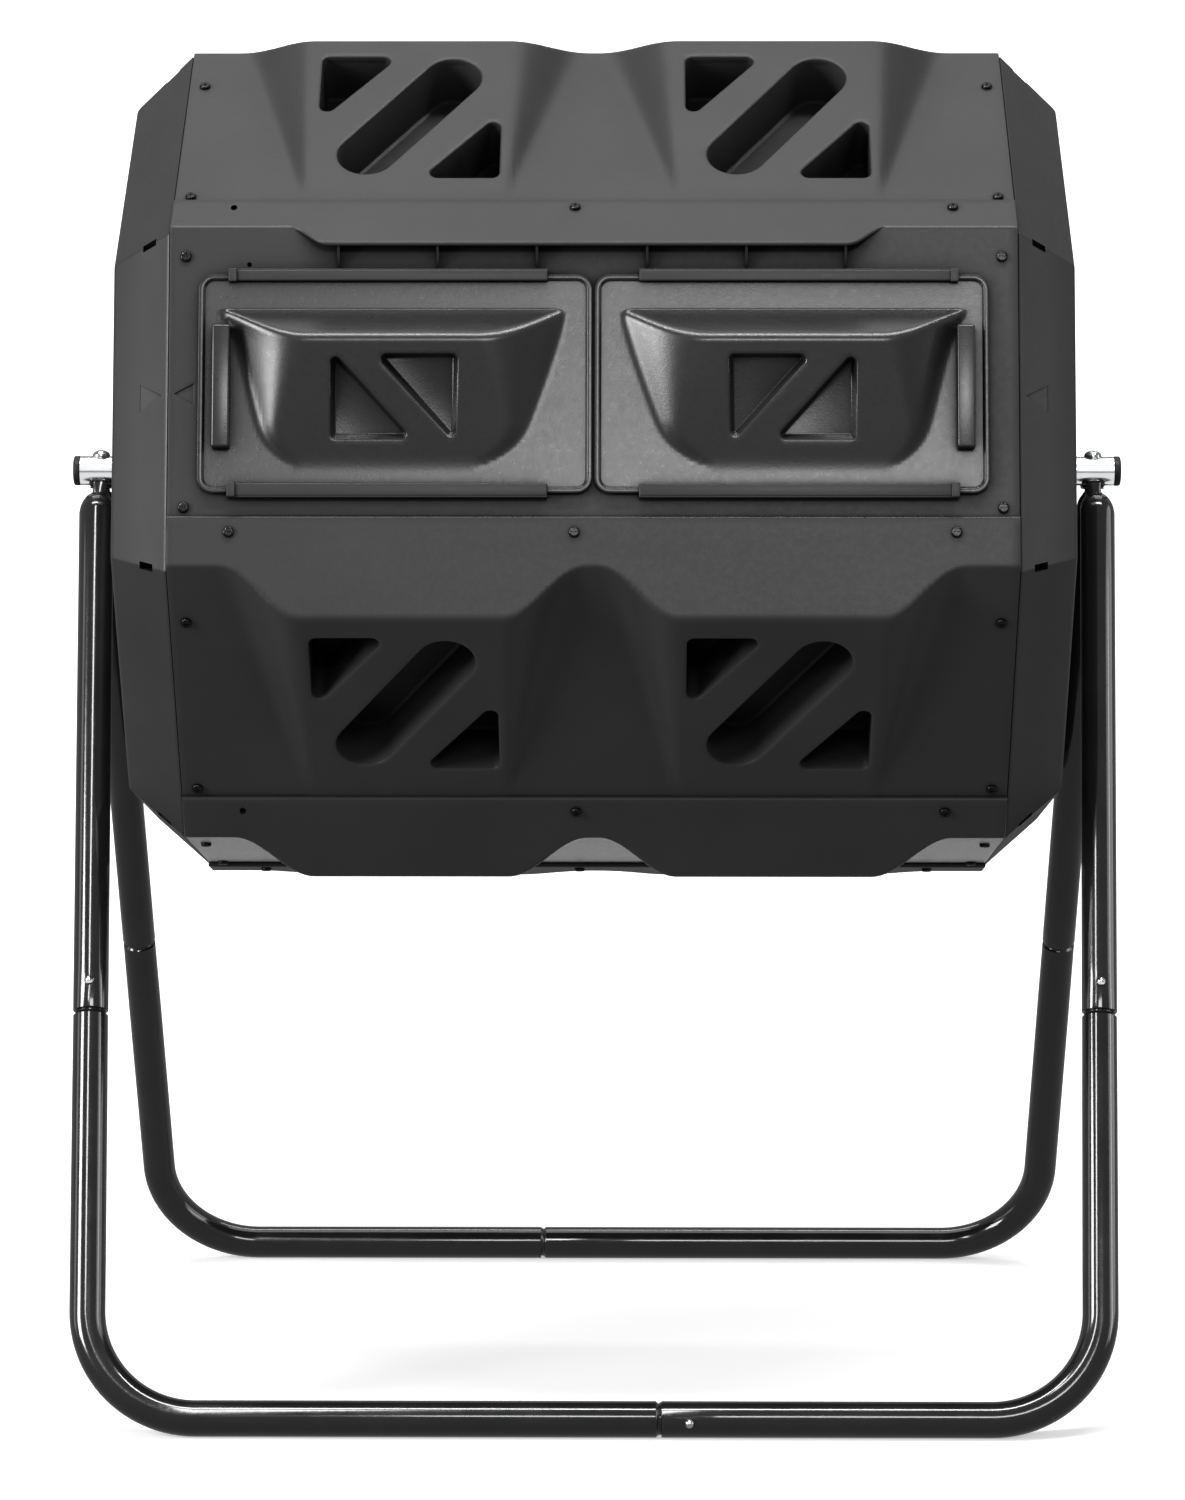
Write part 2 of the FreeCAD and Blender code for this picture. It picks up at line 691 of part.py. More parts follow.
def button_site(sx, sy):
    """Snap button on a leg: point on the centre line and the way the button faces."""
    way = leg_way(sx, sy)
    out = V(0, sy, 0)
    out = (out - way * out.dot(way)).normalize()
    return leg_joint(sx, sy) - way * BUTTON_INSET, out


def bar_site(sy):
    """Snap button on a floor bar."""
    return V(-sy * (BAR_JOINT_X + BUTTON_INSET), sy * FOOT_Y, TUBE_R), V(0, sy, 0)


def sites():
    """Every snap button, by name: centre-line point, outward way, tube's own way."""
    out = {}
    for sy, row in ((-1, "front"), (1, "rear")):
        for sx, side in ((-1, "left"), (1, "right")):
            point, face = button_site(sx, sy)
            out["leg_%s_%s" % (row, side)] = (point, face, leg_way(sx, sy))
        point, face = bar_site(sy)
        out["bar_" + row] = (point, face, V(-sy, 0, 0))
    return out


def dome(centre, up, radius, length):
    """Egg-shaped end of a tube, longer than it is wide."""
    arc = Part.ArcOfEllipse(Part.Ellipse(V(0, 0, 0), length, radius), 0.0, math.pi / 2.0).toShape()
    edges = [arc, Part.makeLine(V(0, radius, 0), V(0, 0, 0)), Part.makeLine(V(0, 0, 0), V(length, 0, 0))]
    body = Part.Face(Part.Wire(edges)).revolve(V(0, 0, 0), V(1, 0, 0), 360.0)
    body.Placement = FreeCAD.Placement(centre, FreeCAD.Rotation(V(1, 0, 0), up))
    return body


def upper_leg(sx, sy):
    """Tube with a closed round top, a flattened neck and a saddle under the axle."""
    top = leg_top(sx, sy)
    joint = leg_joint(sx, sy)
    up = leg_way(sx, sy) * -1.0
    bore = TUBE_R - TUBE_WALL
    hollow_dome = dome(top, up, bore, LEG_DOME - TUBE_WALL)
    outer = rod(top, joint, TUBE_R).fuse(dome(top, up, TUBE_R, LEG_DOME))
    tube = outer.cut(rod(top, joint - up, bore).fuse(hollow_dome))
    level = 0.0 if sy < 0 else SADDLE_T
    radius = AXLE_R + level + GAP
    saddle = pipe(V(sx * BOLT_X - SADDLE_HALF_X, 0, AXLE_Z), V(sx * BOLT_X + SADDLE_HALF_X, 0, AXLE_Z),
                  radius + SADDLE_T - GAP, radius)
    reach = 30.0
    wedge = [V(sx * BOLT_X - 20, 0, AXLE_Z),
             V(sx * BOLT_X - 20, sy * reach, AXLE_Z - reach * 0.62),
             V(sx * BOLT_X - 20, 0, AXLE_Z - 3 * reach),
             V(sx * BOLT_X - 20, -sy * reach, AXLE_Z - reach * 1.6)]
    saddle = saddle.common(prism(wedge, V(40, 0, 0)))
    seat = radius + SADDLE_T / 2.0
    neck = [V(0, sy * seat * math.cos(a), AXLE_Z - seat * math.sin(a)) for a in map(math.radians, NECK_ARC)]
    neck += [V(0, sy * y, AXLE_Z - drop) for y, drop in NECK_ROOT]
    neck = prism([p + V(sx * BOLT_X - NECK_HALF_X, 0, 0) for p in neck], V(2.0 * NECK_HALF_X, 0, 0))
    neck = neck.cut(rod(V(sx * BOLT_X - 20, 0, AXLE_Z), V(sx * BOLT_X + 20, 0, AXLE_Z), radius))
    neck = neck.cut(hollow_dome)
    body = fuse([tube, neck, saddle])
    point, face = button_site(sx, sy)
    bolt = rod(V(sx * BOLT_X, 0, AXLE_Z), V(sx * BOLT_X, 0, AXLE_Z - AXLE_BOLT_END), BOLT_HOLE_R)
    return body.cut([bolt, rod(point, point + face * 20.0, BUTTON_HOLE_R)])


def bend_path(start, corner, finish, extend):
    """Centre line with one round bend, run on by extend at both ends."""
    a = (start - corner).normalize()
    b = (finish - corner).normalize()
    half = a.getAngle(b) / 2.0
    reach = BEND_R / math.tan(half)
    middle = corner + (a + b).normalize() * (BEND_R / math.sin(half) - BEND_R)
    p = corner + a * reach
    q = corner + b * reach
    return Part.Wire([
        Part.makeLine(start + a * extend, p),
        Part.Arc(p, middle, q).toShape(),
        Part.makeLine(q, finish + b * extend),
    ])


def bent_rod(start, corner, finish, radius, extend):
    """Round bar along the bend path."""
    path = bend_path(start, corner, finish, extend)
    a = (start - corner).normalize()
    ring = Part.Wire([Part.makeCircle(radius, start + a * extend, a)])
    return path.makePipeShell([ring], True, True)


def reduced_end(base, way):
    """Reduced tube end with its step, to be pushed into the next tube."""
    inner = INSERT_R - TUBE_WALL
    step = pipe(base, base + way * SHOULDER, TUBE_R, inner)
    insert = pipe(base, base + way * (SHOULDER + NECK_GAP + INSERT_LEN), INSERT_R, inner)
    return [step, insert]


def lower_leg(sx, sy, long_bar):
    """L-shaped tube: leg, bend and floor bar up to the bar's joint."""
    way = leg_way(sx, sy)
    up = way * -1.0
    start = leg_joint(sx, sy) + way * (SHOULDER + NECK_GAP)
    side = V(-sx, 0, 0)
    finish = V(-sy * BAR_JOINT_X, sy * FOOT_Y, TUBE_R)
    if long_bar:
        finish = finish - side * (SHOULDER + NECK_GAP)
    corner = leg_foot(sx, sy)
    outer = bent_rod(start, corner, finish, TUBE_R, 0.0)
    inner = bent_rod(start, corner, finish, TUBE_R - TUBE_WALL, 1.0)
    parts = [outer.cut(inner)] + reduced_end(start, up)
    if long_bar:
        parts += reduced_end(finish, side)
    body = fuse(parts)
    point, face = button_site(sx, sy)
    drills = [rod(point, point + face * 20.0, BUTTON_HOLE_R)]
    point, face = bar_site(sy)
    drills.append(rod(point, point + face * 20.0, BUTTON_HOLE_R))
    return body.cut(drills)


def snap_button(site):
    """Spring-loaded button: flange inside the reduced tube, pin and round tip outside."""
    point, face, _ = site
    flange = rod(point + face * BUTTON_FLANGE[0], point + face * BUTTON_FLANGE[1], BUTTON_FLANGE_R)
    pin = rod(point + face * BUTTON_FLANGE[0], point + face * (BUTTON_TOP - BUTTON_R), BUTTON_R)
    tip = Part.makeSphere(BUTTON_R, point + face * (BUTTON_TOP - BUTTON_R))
    return fuse([flange, pin, tip])


def leaf_spring(site):
    """V-shaped leaf that lies behind the button inside the tube."""
    point, face, way = site
    across = face.cross(way).normalize()
    bore = INSERT_R - TUBE_WALL - 0.3
    floor = -math.sqrt(bore * bore - (SPRING_WIDTH / 2.0) ** 2)
    outline = [
        (-SPRING_TIP, floor),
        (SPRING_LEN, floor),
        (SPRING_LEN, floor + SPRING_FOLD),
        (SPRING_TIP, SPRING_TOP),
        (-SPRING_TIP, SPRING_TOP),
        (-SPRING_TIP, SPRING_TOP - SPRING_THICK),
        (SPRING_TIP - 0.4, SPRING_TOP - SPRING_THICK),
        (SPRING_LEN - SPRING_THICK, floor + SPRING_FOLD - SPRING_THICK),
        (SPRING_LEN - SPRING_THICK, floor + SPRING_THICK),
        (-SPRING_TIP, floor + SPRING_THICK),
    ]
    corner = point - across * (SPRING_WIDTH / 2.0)
    points = [corner - way * along + face * out for along, out in outline]
    return prism(points, across * SPRING_WIDTH)


def axle_tube():
    tube = pipe(V(-AXLE_HALF, 0, AXLE_Z), V(AXLE_HALF, 0, AXLE_Z), AXLE_R, AXLE_R - AXLE_WALL)
    drills = []
    for sx in (-1, 1):
        drills.append(rod(V(sx * BOLT_X, 0, AXLE_Z - 20), V(sx * BOLT_X, 0, AXLE_Z + 20), BOLT_HOLE_R))
    return tube.cut(drills)


def axle_cap(sx):
    """Push-in plug with a slightly domed head."""
    face = V(sx * AXLE_HALF, 0, AXLE_Z)
    out = V(sx, 0, 0)
    head = rod(face, face + out * AXLE_CAP, AXLE_R + 0.2)
    crown = [e for e in head.Edges if abs(abs(e.BoundBox.XMin) - AXLE_HALF - AXLE_CAP) < 0.01
             and e.BoundBox.XLength < 0.01]
    head = head.makeFillet(1.6, crown[:1])
    return fuse([head, rod(face - out * 8.0, face + out, AXLE_R - AXLE_WALL - GAP)])


def axle_bolt(sx):
    """Bolt with a domed head, down through the axle and both saddles."""
    top = V(sx * BOLT_X, 0, AXLE_Z + AXLE_R)
    dome_r = 6.5
    dome = Part.makeSphere(dome_r, top + V(0, 0, 4.2 - dome_r))
    seat = rod(V(sx * BOLT_X - 20, 0, AXLE_Z), V(sx * BOLT_X + 20, 0, AXLE_Z), AXLE_R + 0.05)
    head = dome.common(rod(top - V(0, 0, 3), top + V(0, 0, 5), 6.0)).cut(seat)
    shank = rod(V(sx * BOLT_X, 0, AXLE_Z - AXLE_BOLT_END), top + V(0, 0, 1.0), BOLT_R)
    return fuse([head, shank])


def axle_nut(sx):
    """Hexagon nut under the saddles, its flats towards the legs."""
    top = AXLE_Z - AXLE_R - 2.0 * SADDLE_T - 2.0 * GAP
    size = AXLE_NUT_FLATS / math.sqrt(3.0)
    points = []
    for i in range(6):
        turn = math.radians(60 * i)
        points.append(V(sx * BOLT_X + size * math.cos(turn), size * math.sin(turn), top))
    body = prism(points, V(0, 0, -AXLE_NUT_T))
    return body.cut(rod(V(sx * BOLT_X, 0, top - 9), V(sx * BOLT_X, 0, top + 1), BOLT_R + 0.05))


# ---------------------------------------------------------------- build

def build_stand():
    for sy, row in ((-1, "front"), (1, "rear")):
        for sx, side in ((-1, "left"), (1, "right")):
            save(upper_leg(sx, sy), "upper_leg_%s_%s" % (row, side))
            long_bar = sx * sy > 0
            save(lower_leg(sx, sy, long_bar), "lower_leg_%s_%s" % (row, side))
    springs = []
    for name, site in sites().items():
        save(snap_button(site), "snap_button_" + name)
        springs.append(leaf_spring(site))
    save(Part.Compound(springs), "snap_button_springs")
    save(axle_tube(), "axle_tube")
    save(axle_cap(-1), "axle_cap_left")
    save(axle_cap(1), "axle_cap_right")
    save(Part.Compound([axle_bolt(-1), axle_bolt(1)]), "axle_bolts")
    save(Part.Compound([axle_nut(-1), axle_nut(1)]), "axle_nuts")


def build_drum():
    cap = end_cap()
    mirrored = cap.mirror(V(0, 0, 0), V(1, 0, 0))
    save(place(cap, 0), "end_cap_right")
    save(place(mirrored, 0), "end_cap_left")
    save(place(divider(), 0), "divider_panel")
    save(place(door_panel(), 0), "door_panel")
    wall = wall_panel()
    for facet in range(1, FACETS):
        save(place(wall, facet), "wall_panel_%d" % facet)
    right = door()
    save(place(right, 0), "door_right")
    save(place(right.mirror(V(0, 0, 0), V(1, 0, 0)), 0), "door_left")
    screws, nuts = panel_fixings()
    save(screws, "panel_screws")
    save(nuts, "panel_nuts")


os.makedirs("parts", exist_ok=True)
build_stand()
build_drum()
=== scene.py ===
import json
import math

import bpy
import bmesh
import numpy as np
from mathutils import Matrix, Vector
from mathutils.geometry import delaunay_2d_cdt


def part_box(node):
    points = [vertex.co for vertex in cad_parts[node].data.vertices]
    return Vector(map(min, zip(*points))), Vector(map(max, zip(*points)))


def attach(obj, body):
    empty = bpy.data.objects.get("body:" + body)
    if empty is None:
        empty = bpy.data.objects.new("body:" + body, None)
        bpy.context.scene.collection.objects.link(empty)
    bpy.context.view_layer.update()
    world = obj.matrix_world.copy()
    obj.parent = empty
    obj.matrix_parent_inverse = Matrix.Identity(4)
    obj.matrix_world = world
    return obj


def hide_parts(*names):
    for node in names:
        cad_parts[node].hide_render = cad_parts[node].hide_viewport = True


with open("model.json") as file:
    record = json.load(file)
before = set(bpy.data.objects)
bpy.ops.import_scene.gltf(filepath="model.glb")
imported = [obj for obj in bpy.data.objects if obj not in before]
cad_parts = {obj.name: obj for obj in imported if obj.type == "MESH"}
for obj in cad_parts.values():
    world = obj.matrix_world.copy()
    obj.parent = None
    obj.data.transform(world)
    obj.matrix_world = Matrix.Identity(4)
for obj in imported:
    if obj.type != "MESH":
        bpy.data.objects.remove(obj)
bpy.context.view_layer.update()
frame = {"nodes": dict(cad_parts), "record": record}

MM = 0.001
axle_low, axle_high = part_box("axle_tube")
AXLE_Z = (axle_low.z + axle_high.z) / 2.0 / MM
AXLE_HALF = axle_high.x / MM

# drum, in millimetres, the same sizes as the design
R_OUT = 285.0
TILT = 12.6
HALF = math.pi / 8.0
SLANT = math.cos(2.0 * HALF)
APOTHEM = R_OUT * math.cos(HALF)
SIDE = 2.0 * R_OUT * math.sin(HALF)
PANEL_T = 3.0
PANEL_HALF_X = 270.0
LAP_V = 183.0
MAIN_END_V = 206.0
CREASE_V = -PANEL_T / math.sin(2.0 * HALF)
FLANGE = SIDE - PANEL_T - LAP_V

SWELL_X = (-121.0, 119.0)
SWELL_FOOT = 117.0
SWELL_TOP = (-65.0, 64.0)
SWELL_RISE = 34.0 * math.sin(2.0 * HALF)
SWELL_LOW_V = 180.0


def unit(v):
    return v / np.linalg.norm(v)


def smin(a, b, k):
    """Smooth minimum with a blend about k high."""
    t = np.clip(0.5 + 0.5 * (b - a) / k, 0.0, 1.0)
    return b + (a - b) * t - k * t * (1.0 - t)


def smax(a, b, k):
    return -smin(-a, -b, k)


def s_curve(t):
    """0 to 1 with level ends."""
    return 0.5 - 0.5 * np.cos(np.pi * np.clip(t, 0.0, 1.0))


# ---- meshes

def shade(mesh, degrees=35.0):
    """Smooth shading across edges up to an angle."""
    mesh.shade_smooth()
    mesh.set_sharp_from_angle(angle=math.radians(degrees))


def put(name, mesh):
    """Object of a mesh, in the scene."""
    shade(mesh)
    thing = bpy.data.objects.new(name, mesh)
    bpy.context.scene.collection.objects.link(thing)
    return thing


def add_object(name, verts, faces, matrix=None):
    """Closed mesh object from millimetre points."""
    mesh = bpy.data.meshes.new(name)
    mesh.from_pydata([tuple(v) for v in np.asarray(verts) * MM], [], [tuple(f) for f in faces])
    work = bmesh.new()
    work.from_mesh(mesh)
    bmesh.ops.remove_doubles(work, verts=work.verts, dist=1e-6)
    bmesh.ops.recalc_face_normals(work, faces=work.faces)
    work.to_mesh(mesh)
    work.free()
    if matrix is not None:
        mesh.transform(matrix)
    return put(name, mesh)


def join(name, parts, matrix=None):
    """One object from several closed ones."""
    work = bmesh.new()
    for part in parts:
        work.from_mesh(part.data)
    mesh = bpy.data.meshes.new(name)
    work.to_mesh(mesh)
    work.free()
    for part in parts:
        old = part.data
        bpy.data.objects.remove(part)
        bpy.data.meshes.remove(old)
    if matrix is not None:
        mesh.transform(matrix)
    return put(name, mesh)


def carve(thing, cutters):
    """Takes the cutters out of a closed mesh, for good."""
    tool = join("cutters", cutters) if len(cutters) > 1 else cutters[0]
    cut = thing.modifiers.new("cut", "BOOLEAN")
    cut.operation = "DIFFERENCE"
    cut.solver = "EXACT"
    cut.object = tool
    bpy.context.view_layer.update()
    done = bpy.data.meshes.new_from_object(thing.evaluated_get(bpy.context.evaluated_depsgraph_get()))
    thing.modifiers.clear()
    old = thing.data
    thing.data = done
    bpy.data.meshes.remove(old)
    bpy.data.objects.remove(tool)
    shade(thing.data)


def bridge(a, b):
    """Quads between two rings of the same count, given as index lists."""
    n = len(a)
    return [(a[i], a[(i + 1) % n], b[(i + 1) % n], b[i]) for i in range(n)]


def loft(name, rings, closed=False):
    """Skin over rings of the same count, with a face at both ends or closed into a loop."""
    sides = len(rings[0])
    ids = [range(i * sides, (i + 1) * sides) for i in range(len(rings))]
    faces = [] if closed else [ids[0], ids[-1]]
    followers = ids[1:] + ids[:1] if closed else ids[1:]
    for low, high in zip(ids, followers):
        faces += bridge(low, high)
    return add_object(name, np.concatenate(rings), faces)


def box(name, xs, ys, zs, matrix=None, place=lambda points: points):
    """Box between two values of each coordinate."""
    points = np.array([(x, y, z) for x in xs for y in ys for z in zs])
    faces = [(0, 1, 3, 2), (4, 6, 7, 5), (0, 4, 5, 1), (2, 3, 7, 6), (0, 2, 6, 4), (1, 5, 7, 3)]
    return add_object(name, place(points), faces, matrix)


def facet_matrix(facet):
    """From a facet that faces -Y about the axle to its place in the drum."""
    turn = Matrix.Rotation(math.radians(45.0 * facet - TILT), 4, "X")
    return Matrix.Translation((0.0, 0.0, AXLE_Z * MM)) @ turn


def facet_points(points):
    """Points given as u along the axle, v down the facet, h outward."""
    u, v, h = np.asarray(points, float).T
    return np.column_stack([u, -(APOTHEM + h), SIDE / 2.0 - v])


def on_side(thing, side):
    """Turns a piece made for the right into its place, mirrored for the left."""
    if side < 0:
        thing.data.transform(Matrix.Scale(-1.0, 4, (1, 0, 0)))
        thing.data.flip_normals()
    thing.data.transform(facet_matrix(0))
    return thing


def rounded_outline(corners, radius, grow=0.0, arc=6, step=7.0):
    """Convex polygon with round corners as points, grown outward; same count for any grow."""
    corners = [np.array(c, float) for c in corners]
    count = len(corners)
    area = sum(corners[i - 1][0] * corners[i][1] - corners[i][0] * corners[i - 1][1] for i in range(count))
    if area < 0:
        corners = corners[::-1]
    fans = []
    for i, here in enumerate(corners):
        back = unit(corners[i - 1] - here)
        ahead = unit(corners[(i + 1) % count] - here)
        half = math.acos(np.clip(back @ ahead, -1, 1)) / 2.0
        centre = here + unit(back + ahead) * radius / math.sin(half)
        first = np.array([-back[1], back[0]])
        first = first if (here - centre) @ first > 0 else -first
        start = math.atan2(first[1], first[0])
        turns = [start + (math.pi - 2.0 * half) * j / arc for j in range(arc + 1)]
        fans.append([centre + (radius + grow) * np.array([math.cos(t), math.sin(t)]) for t in turns])
    out = []
    for i in range(count):
        out += fans[i]
        a = fans[i][-1]
        b = fans[(i + 1) % count][0]
        parts = max(1, int(np.linalg.norm(corners[(i + 1) % count] - corners[i]) / step))
        out += [a + (b - a) * j / parts for j in range(1, parts)]
    return np.array(out)


def slot_outline(a, b, radius, grow=0.0, arc=14, parts=10):
    """Stadium as points."""
    a = np.array(a, float)
    b = np.array(b, float)
    way = math.atan2(b[1] - a[1], b[0] - a[0])
    out = []
    for centre, other, start in ((b, a, way - math.pi / 2), (a, b, way + math.pi / 2)):
        turns = [start + math.pi * j / arc for j in range(arc + 1)]
        out += [centre + (radius + grow) * np.array([math.cos(t), math.sin(t)]) for t in turns]
        stop = out[-1]
        out += [stop + (other - centre) * j / parts for j in range(1, parts)]
    return np.array(out)


def circle(u, v, radius, count=16):
    turn = np.linspace(0.0, 2.0 * math.pi, count, endpoint=False)
    return np.column_stack([u + radius * np.cos(turn), v + radius * np.sin(turn)])


def inside(points, outline):
    """Which points lie in a closed outline."""
    x, y = points[:, 0], points[:, 1]
    hit = np.zeros(len(points), bool)
    for i in range(len(outline)):
        x0, y0 = outline[i - 1]
        x1, y1 = outline[i]
        cross = (y0 > y) != (y1 > y)
        with np.errstate(divide="ignore", invalid="ignore"):
            at = (x1 - x0) * (y - y0) / (y1 - y0) + x0
        hit ^= cross & (x < at)
    return hit


def near(points, outline, reach):
    """Which points lie within reach of an outline."""
    close = np.zeros(len(points), bool)
    for i in range(len(outline)):
        a = outline[i - 1]
        d = outline[i] - a
        t = np.clip(((points - a) @ d) / max(d @ d, 1e-9), 0.0, 1.0)
        close |= np.linalg.norm(points - a - t[:, None] * d, axis=1) < reach
    return close


def clear_points(flat, border, margin, holes, gap):
    """Those of the points that are clear of the border and the holes."""
    keep = inside(flat, border) & ~near(flat, border, margin)
    for hole in holes:
        low = hole.min(axis=0) - gap
        high = hole.max(axis=0) + gap
        local = np.where(((flat > low) & (flat < high)).all(axis=1))[0]
        if len(local):
            bad = inside(flat[local], hole) | near(flat[local], hole, gap)
            keep[local[bad]] = False
    return flat[keep]


def triangulate(border, holes, loose):
    """Constrained triangles over (u, v): vertex list with border, holes and loose points in order."""
    rings = [border] + holes
    verts = np.concatenate(rings + [loose])
    edges = []
    base = 0
    for ring in rings:
        edges += [(base + i, base + (i + 1) % len(ring)) for i in range(len(ring))]
        base += len(ring)
    out = delaunay_2d_cdt([Vector(p) for p in verts], edges, [], 0, 1e-7)
    back = [source[0] if source else -1 for source in out[3]]
    placed = np.array([tuple(p) for p in out[0]])
    middles = np.array([placed[list(f)].mean(axis=0) for f in out[2]])
    keep = inside(middles, border)
    for hole in holes:
        keep &= ~inside(middles, hole)
    return verts, [[back[i] for i in f] for f, good in zip(out[2], keep) if good]


class Shell:
    """Sheet of even wall over a (u, v) outline, with closed pockets and through holes."""

    # each pair is a share outward or sideways and a share of the way down
    RIM_ROUND = ((0.6, 0.07), (0.9, 0.22), (1.0, 0.42), (1.0, 0.62), (0.85, 0.84), (0.5, 0.96))
    LIP_ROUND = ((0.75, 0.08), (0.22, 0.42), (0.0, 1.0))
    FLOOR_ROUND = ((0.0, 1.0), (0.25, 0.35), (0.8, 0.05), (1.05, 0.0))

    def __init__(self, height, slope, shift, edge):
        """height(u, v) is the outer surface, slope(v) the plain face under the pockets, shift the
        way from the outer to the inner skin, and edge the rounding of the rim."""
        self.height = height
        self.slope = slope
        self.shift = np.array(shift)
        self.edge = edge
        self.points = []
        self.faces = []
        self.count = 0

    def add(self, points):
        self.points.append(np.asarray(points, float))
        ids = list(range(self.count, self.count + len(points)))
        self.count += len(points)
        return ids

    def lift(self, flat):
        """Points of the outer surface as (u, v, h)."""
        return np.column_stack([flat, self.height(flat[:, 0], flat[:, 1])])

    def surface(self, border, holes, loose, depth):
        """One skin, moved inward by depth times the wall; returns the border's and holes' indices."""
        flat, faces = triangulate(border, holes, loose)
        ids = self.add(self.lift(flat) + self.shift * depth)
        self.faces += [[ids[i] for i in f] for f in faces]
        rings = []
        base = 0
        for ring in [border] + holes:
            rings.append(ids[base:base + len(ring)])
            base += len(ring)
        return rings

    def rim(self, border, outward, outer, inner):
        """Rounded edge between the two skins."""
        start = self.lift(border)
        last = outer
        for out, drop in self.RIM_ROUND:
            ring = self.add(start + outward * out * self.edge + self.shift * drop)
            self.faces += bridge(last, ring)
            last = ring
        self.faces += bridge(last, inner)

    def pocket(self, outline, lean, depth, outer, inner, lip, soft=3.0, back=2.6, tilt=0.0, draft=0.3):
        """Closed pocket; outline(grow) gives its ring, lean is the shift of v and h per depth, soft
        the rounding of the floor, back the wall behind it; tilt makes the floor deeper at the top
        than at the bottom, per millimetre of v."""
        middle = outline(0.0)[:, 1].mean()

        def sunk(grow, down):
            ring = outline(grow)
            deep = down * (1.0 + tilt * (middle - ring[:, 1]))
            return self.add(np.column_stack([ring, self.slope(ring[:, 1])]) + lean * deep[:, None])

        steps = [(lip * g, lip * d) for g, d in self.LIP_ROUND]
        steps += [(-draft - soft * g, depth - soft * d) for g, d in self.FLOOR_ROUND]
        last = outer
        for grow, down in steps:
            ring = sunk(grow, down)
            self.faces += bridge(last, ring)
            last = ring
        cup = sunk(lip, depth + back)
        self.faces += bridge(inner, cup) + [last, cup]

    def mesh(self, name, matrix=None):
        return add_object(name, facet_points(np.concatenate(self.points)), self.faces, matrix)


# ---- wall panels

EDGE = 1.0
PANEL_TOP_V = CREASE_V - FLANGE * SLANT + EDGE * SLANT
PANEL_SHIFT = (0.0, PANEL_T * math.tan(HALF), -PANEL_T)

POCKET_DEPTH = 36.0
POCKET_LIP = 1.5
POCKET_ROUND = 5.0
POCKET_TRI = ((-59.5, 37.0), (-9.5, 37.0), (-59.5, 101.0))
POCKET_TRI_LOW = ((59.5, 157.0), (9.5, 157.0), (59.5, 93.5))
POCKET_SLOT = ((-27.0, 134.5), (27.0, 58.5))
POCKET_SLOT_R = 19.0

SEAM_X = (-230.5, -12.0, 229.5)
SEAM_V = 193.0
SCREW_HOLE_R = 2.2


def past_top(u, middle):
    """How far out on its side a swell is at u, and how wide that side is."""
    left = u < middle
    far = np.maximum(np.where(left, SWELL_TOP[0] - (u - middle), (u - middle) - SWELL_TOP[1]), 0.0)
    return far, np.where(left, SWELL_FOOT + SWELL_TOP[0], SWELL_FOOT - SWELL_TOP[1])


def swell_up(u, middle):
    """How far up the S-curve a swell's crest is at u, 0 to 1."""
    far, span = past_top(u, middle)
    return 1.0 - s_curve(far / span)


def swell_height(u, v, middle, rounds=12):
    """Height of a wedge swell whose crest follows an S-curve: tall at the crest, nothing below.
    The share s along the curve is found step by step, because the crest's place depends on it."""
    far, span = past_top(u, middle)
    s = np.zeros_like(u)
    for _ in range(rounds):
        crest_v = CREASE_V + SWELL_RISE * (1.0 - s_curve(s))
        down = np.clip((v - crest_v) / (SWELL_LOW_V - crest_v), -0.2, 0.985)
        s = np.clip(far / (span * np.maximum(1.0 - down, 0.03)), 0.0, 1.0) * 0.6 + s * 0.4
    return SWELL_RISE * (1.0 - s_curve(s)) * (1.0 - down)


def panel_height(u, v):
    """Outer surface of a wall panel."""
    body = np.maximum(swell_height(u, v, SWELL_X[0]), swell_height(u, v, SWELL_X[1]))
    body = np.maximum(body, 0.0)
    wide = 1.5 + 2.0 * np.clip(body / SWELL_RISE, 0.0, 1.0)
    return smin(v - CREASE_V, body, wide)


def slope_of(high, low):
    """Height on the plane of a swell's face as a function of v, and the way into a pocket."""
    fall = (low[1] - high[1]) / (low[0] - high[0])
    tilt = math.atan(-fall)
    lean = np.array([0.0, -math.sin(tilt), -math.cos(tilt)])
    return (lambda v: high[1] + fall * (v - high[0])), lean


def plain_grid(us, vs):
    u, v = np.meshgrid(us, vs)
    return np.column_stack([u.ravel(), v.ravel()])


def crest_grid(us, crest, top_v, low_v, above=7, below=34, band=(5.6, 6.4), step=0.8):
    """Points in rows that follow a crest line, close together in a band beside it."""
    points = []
    for u, middle in zip(us, crest):
        rows = [np.linspace(top_v, middle - band[0], above + 2)[1:-1],
                np.arange(middle - band[0], middle + band[1], step),
                np.linspace(middle + band[1], low_v, below + 2)[:-1]]
        points += [(u, v) for v in np.concatenate(rows)]
    return np.array(points)


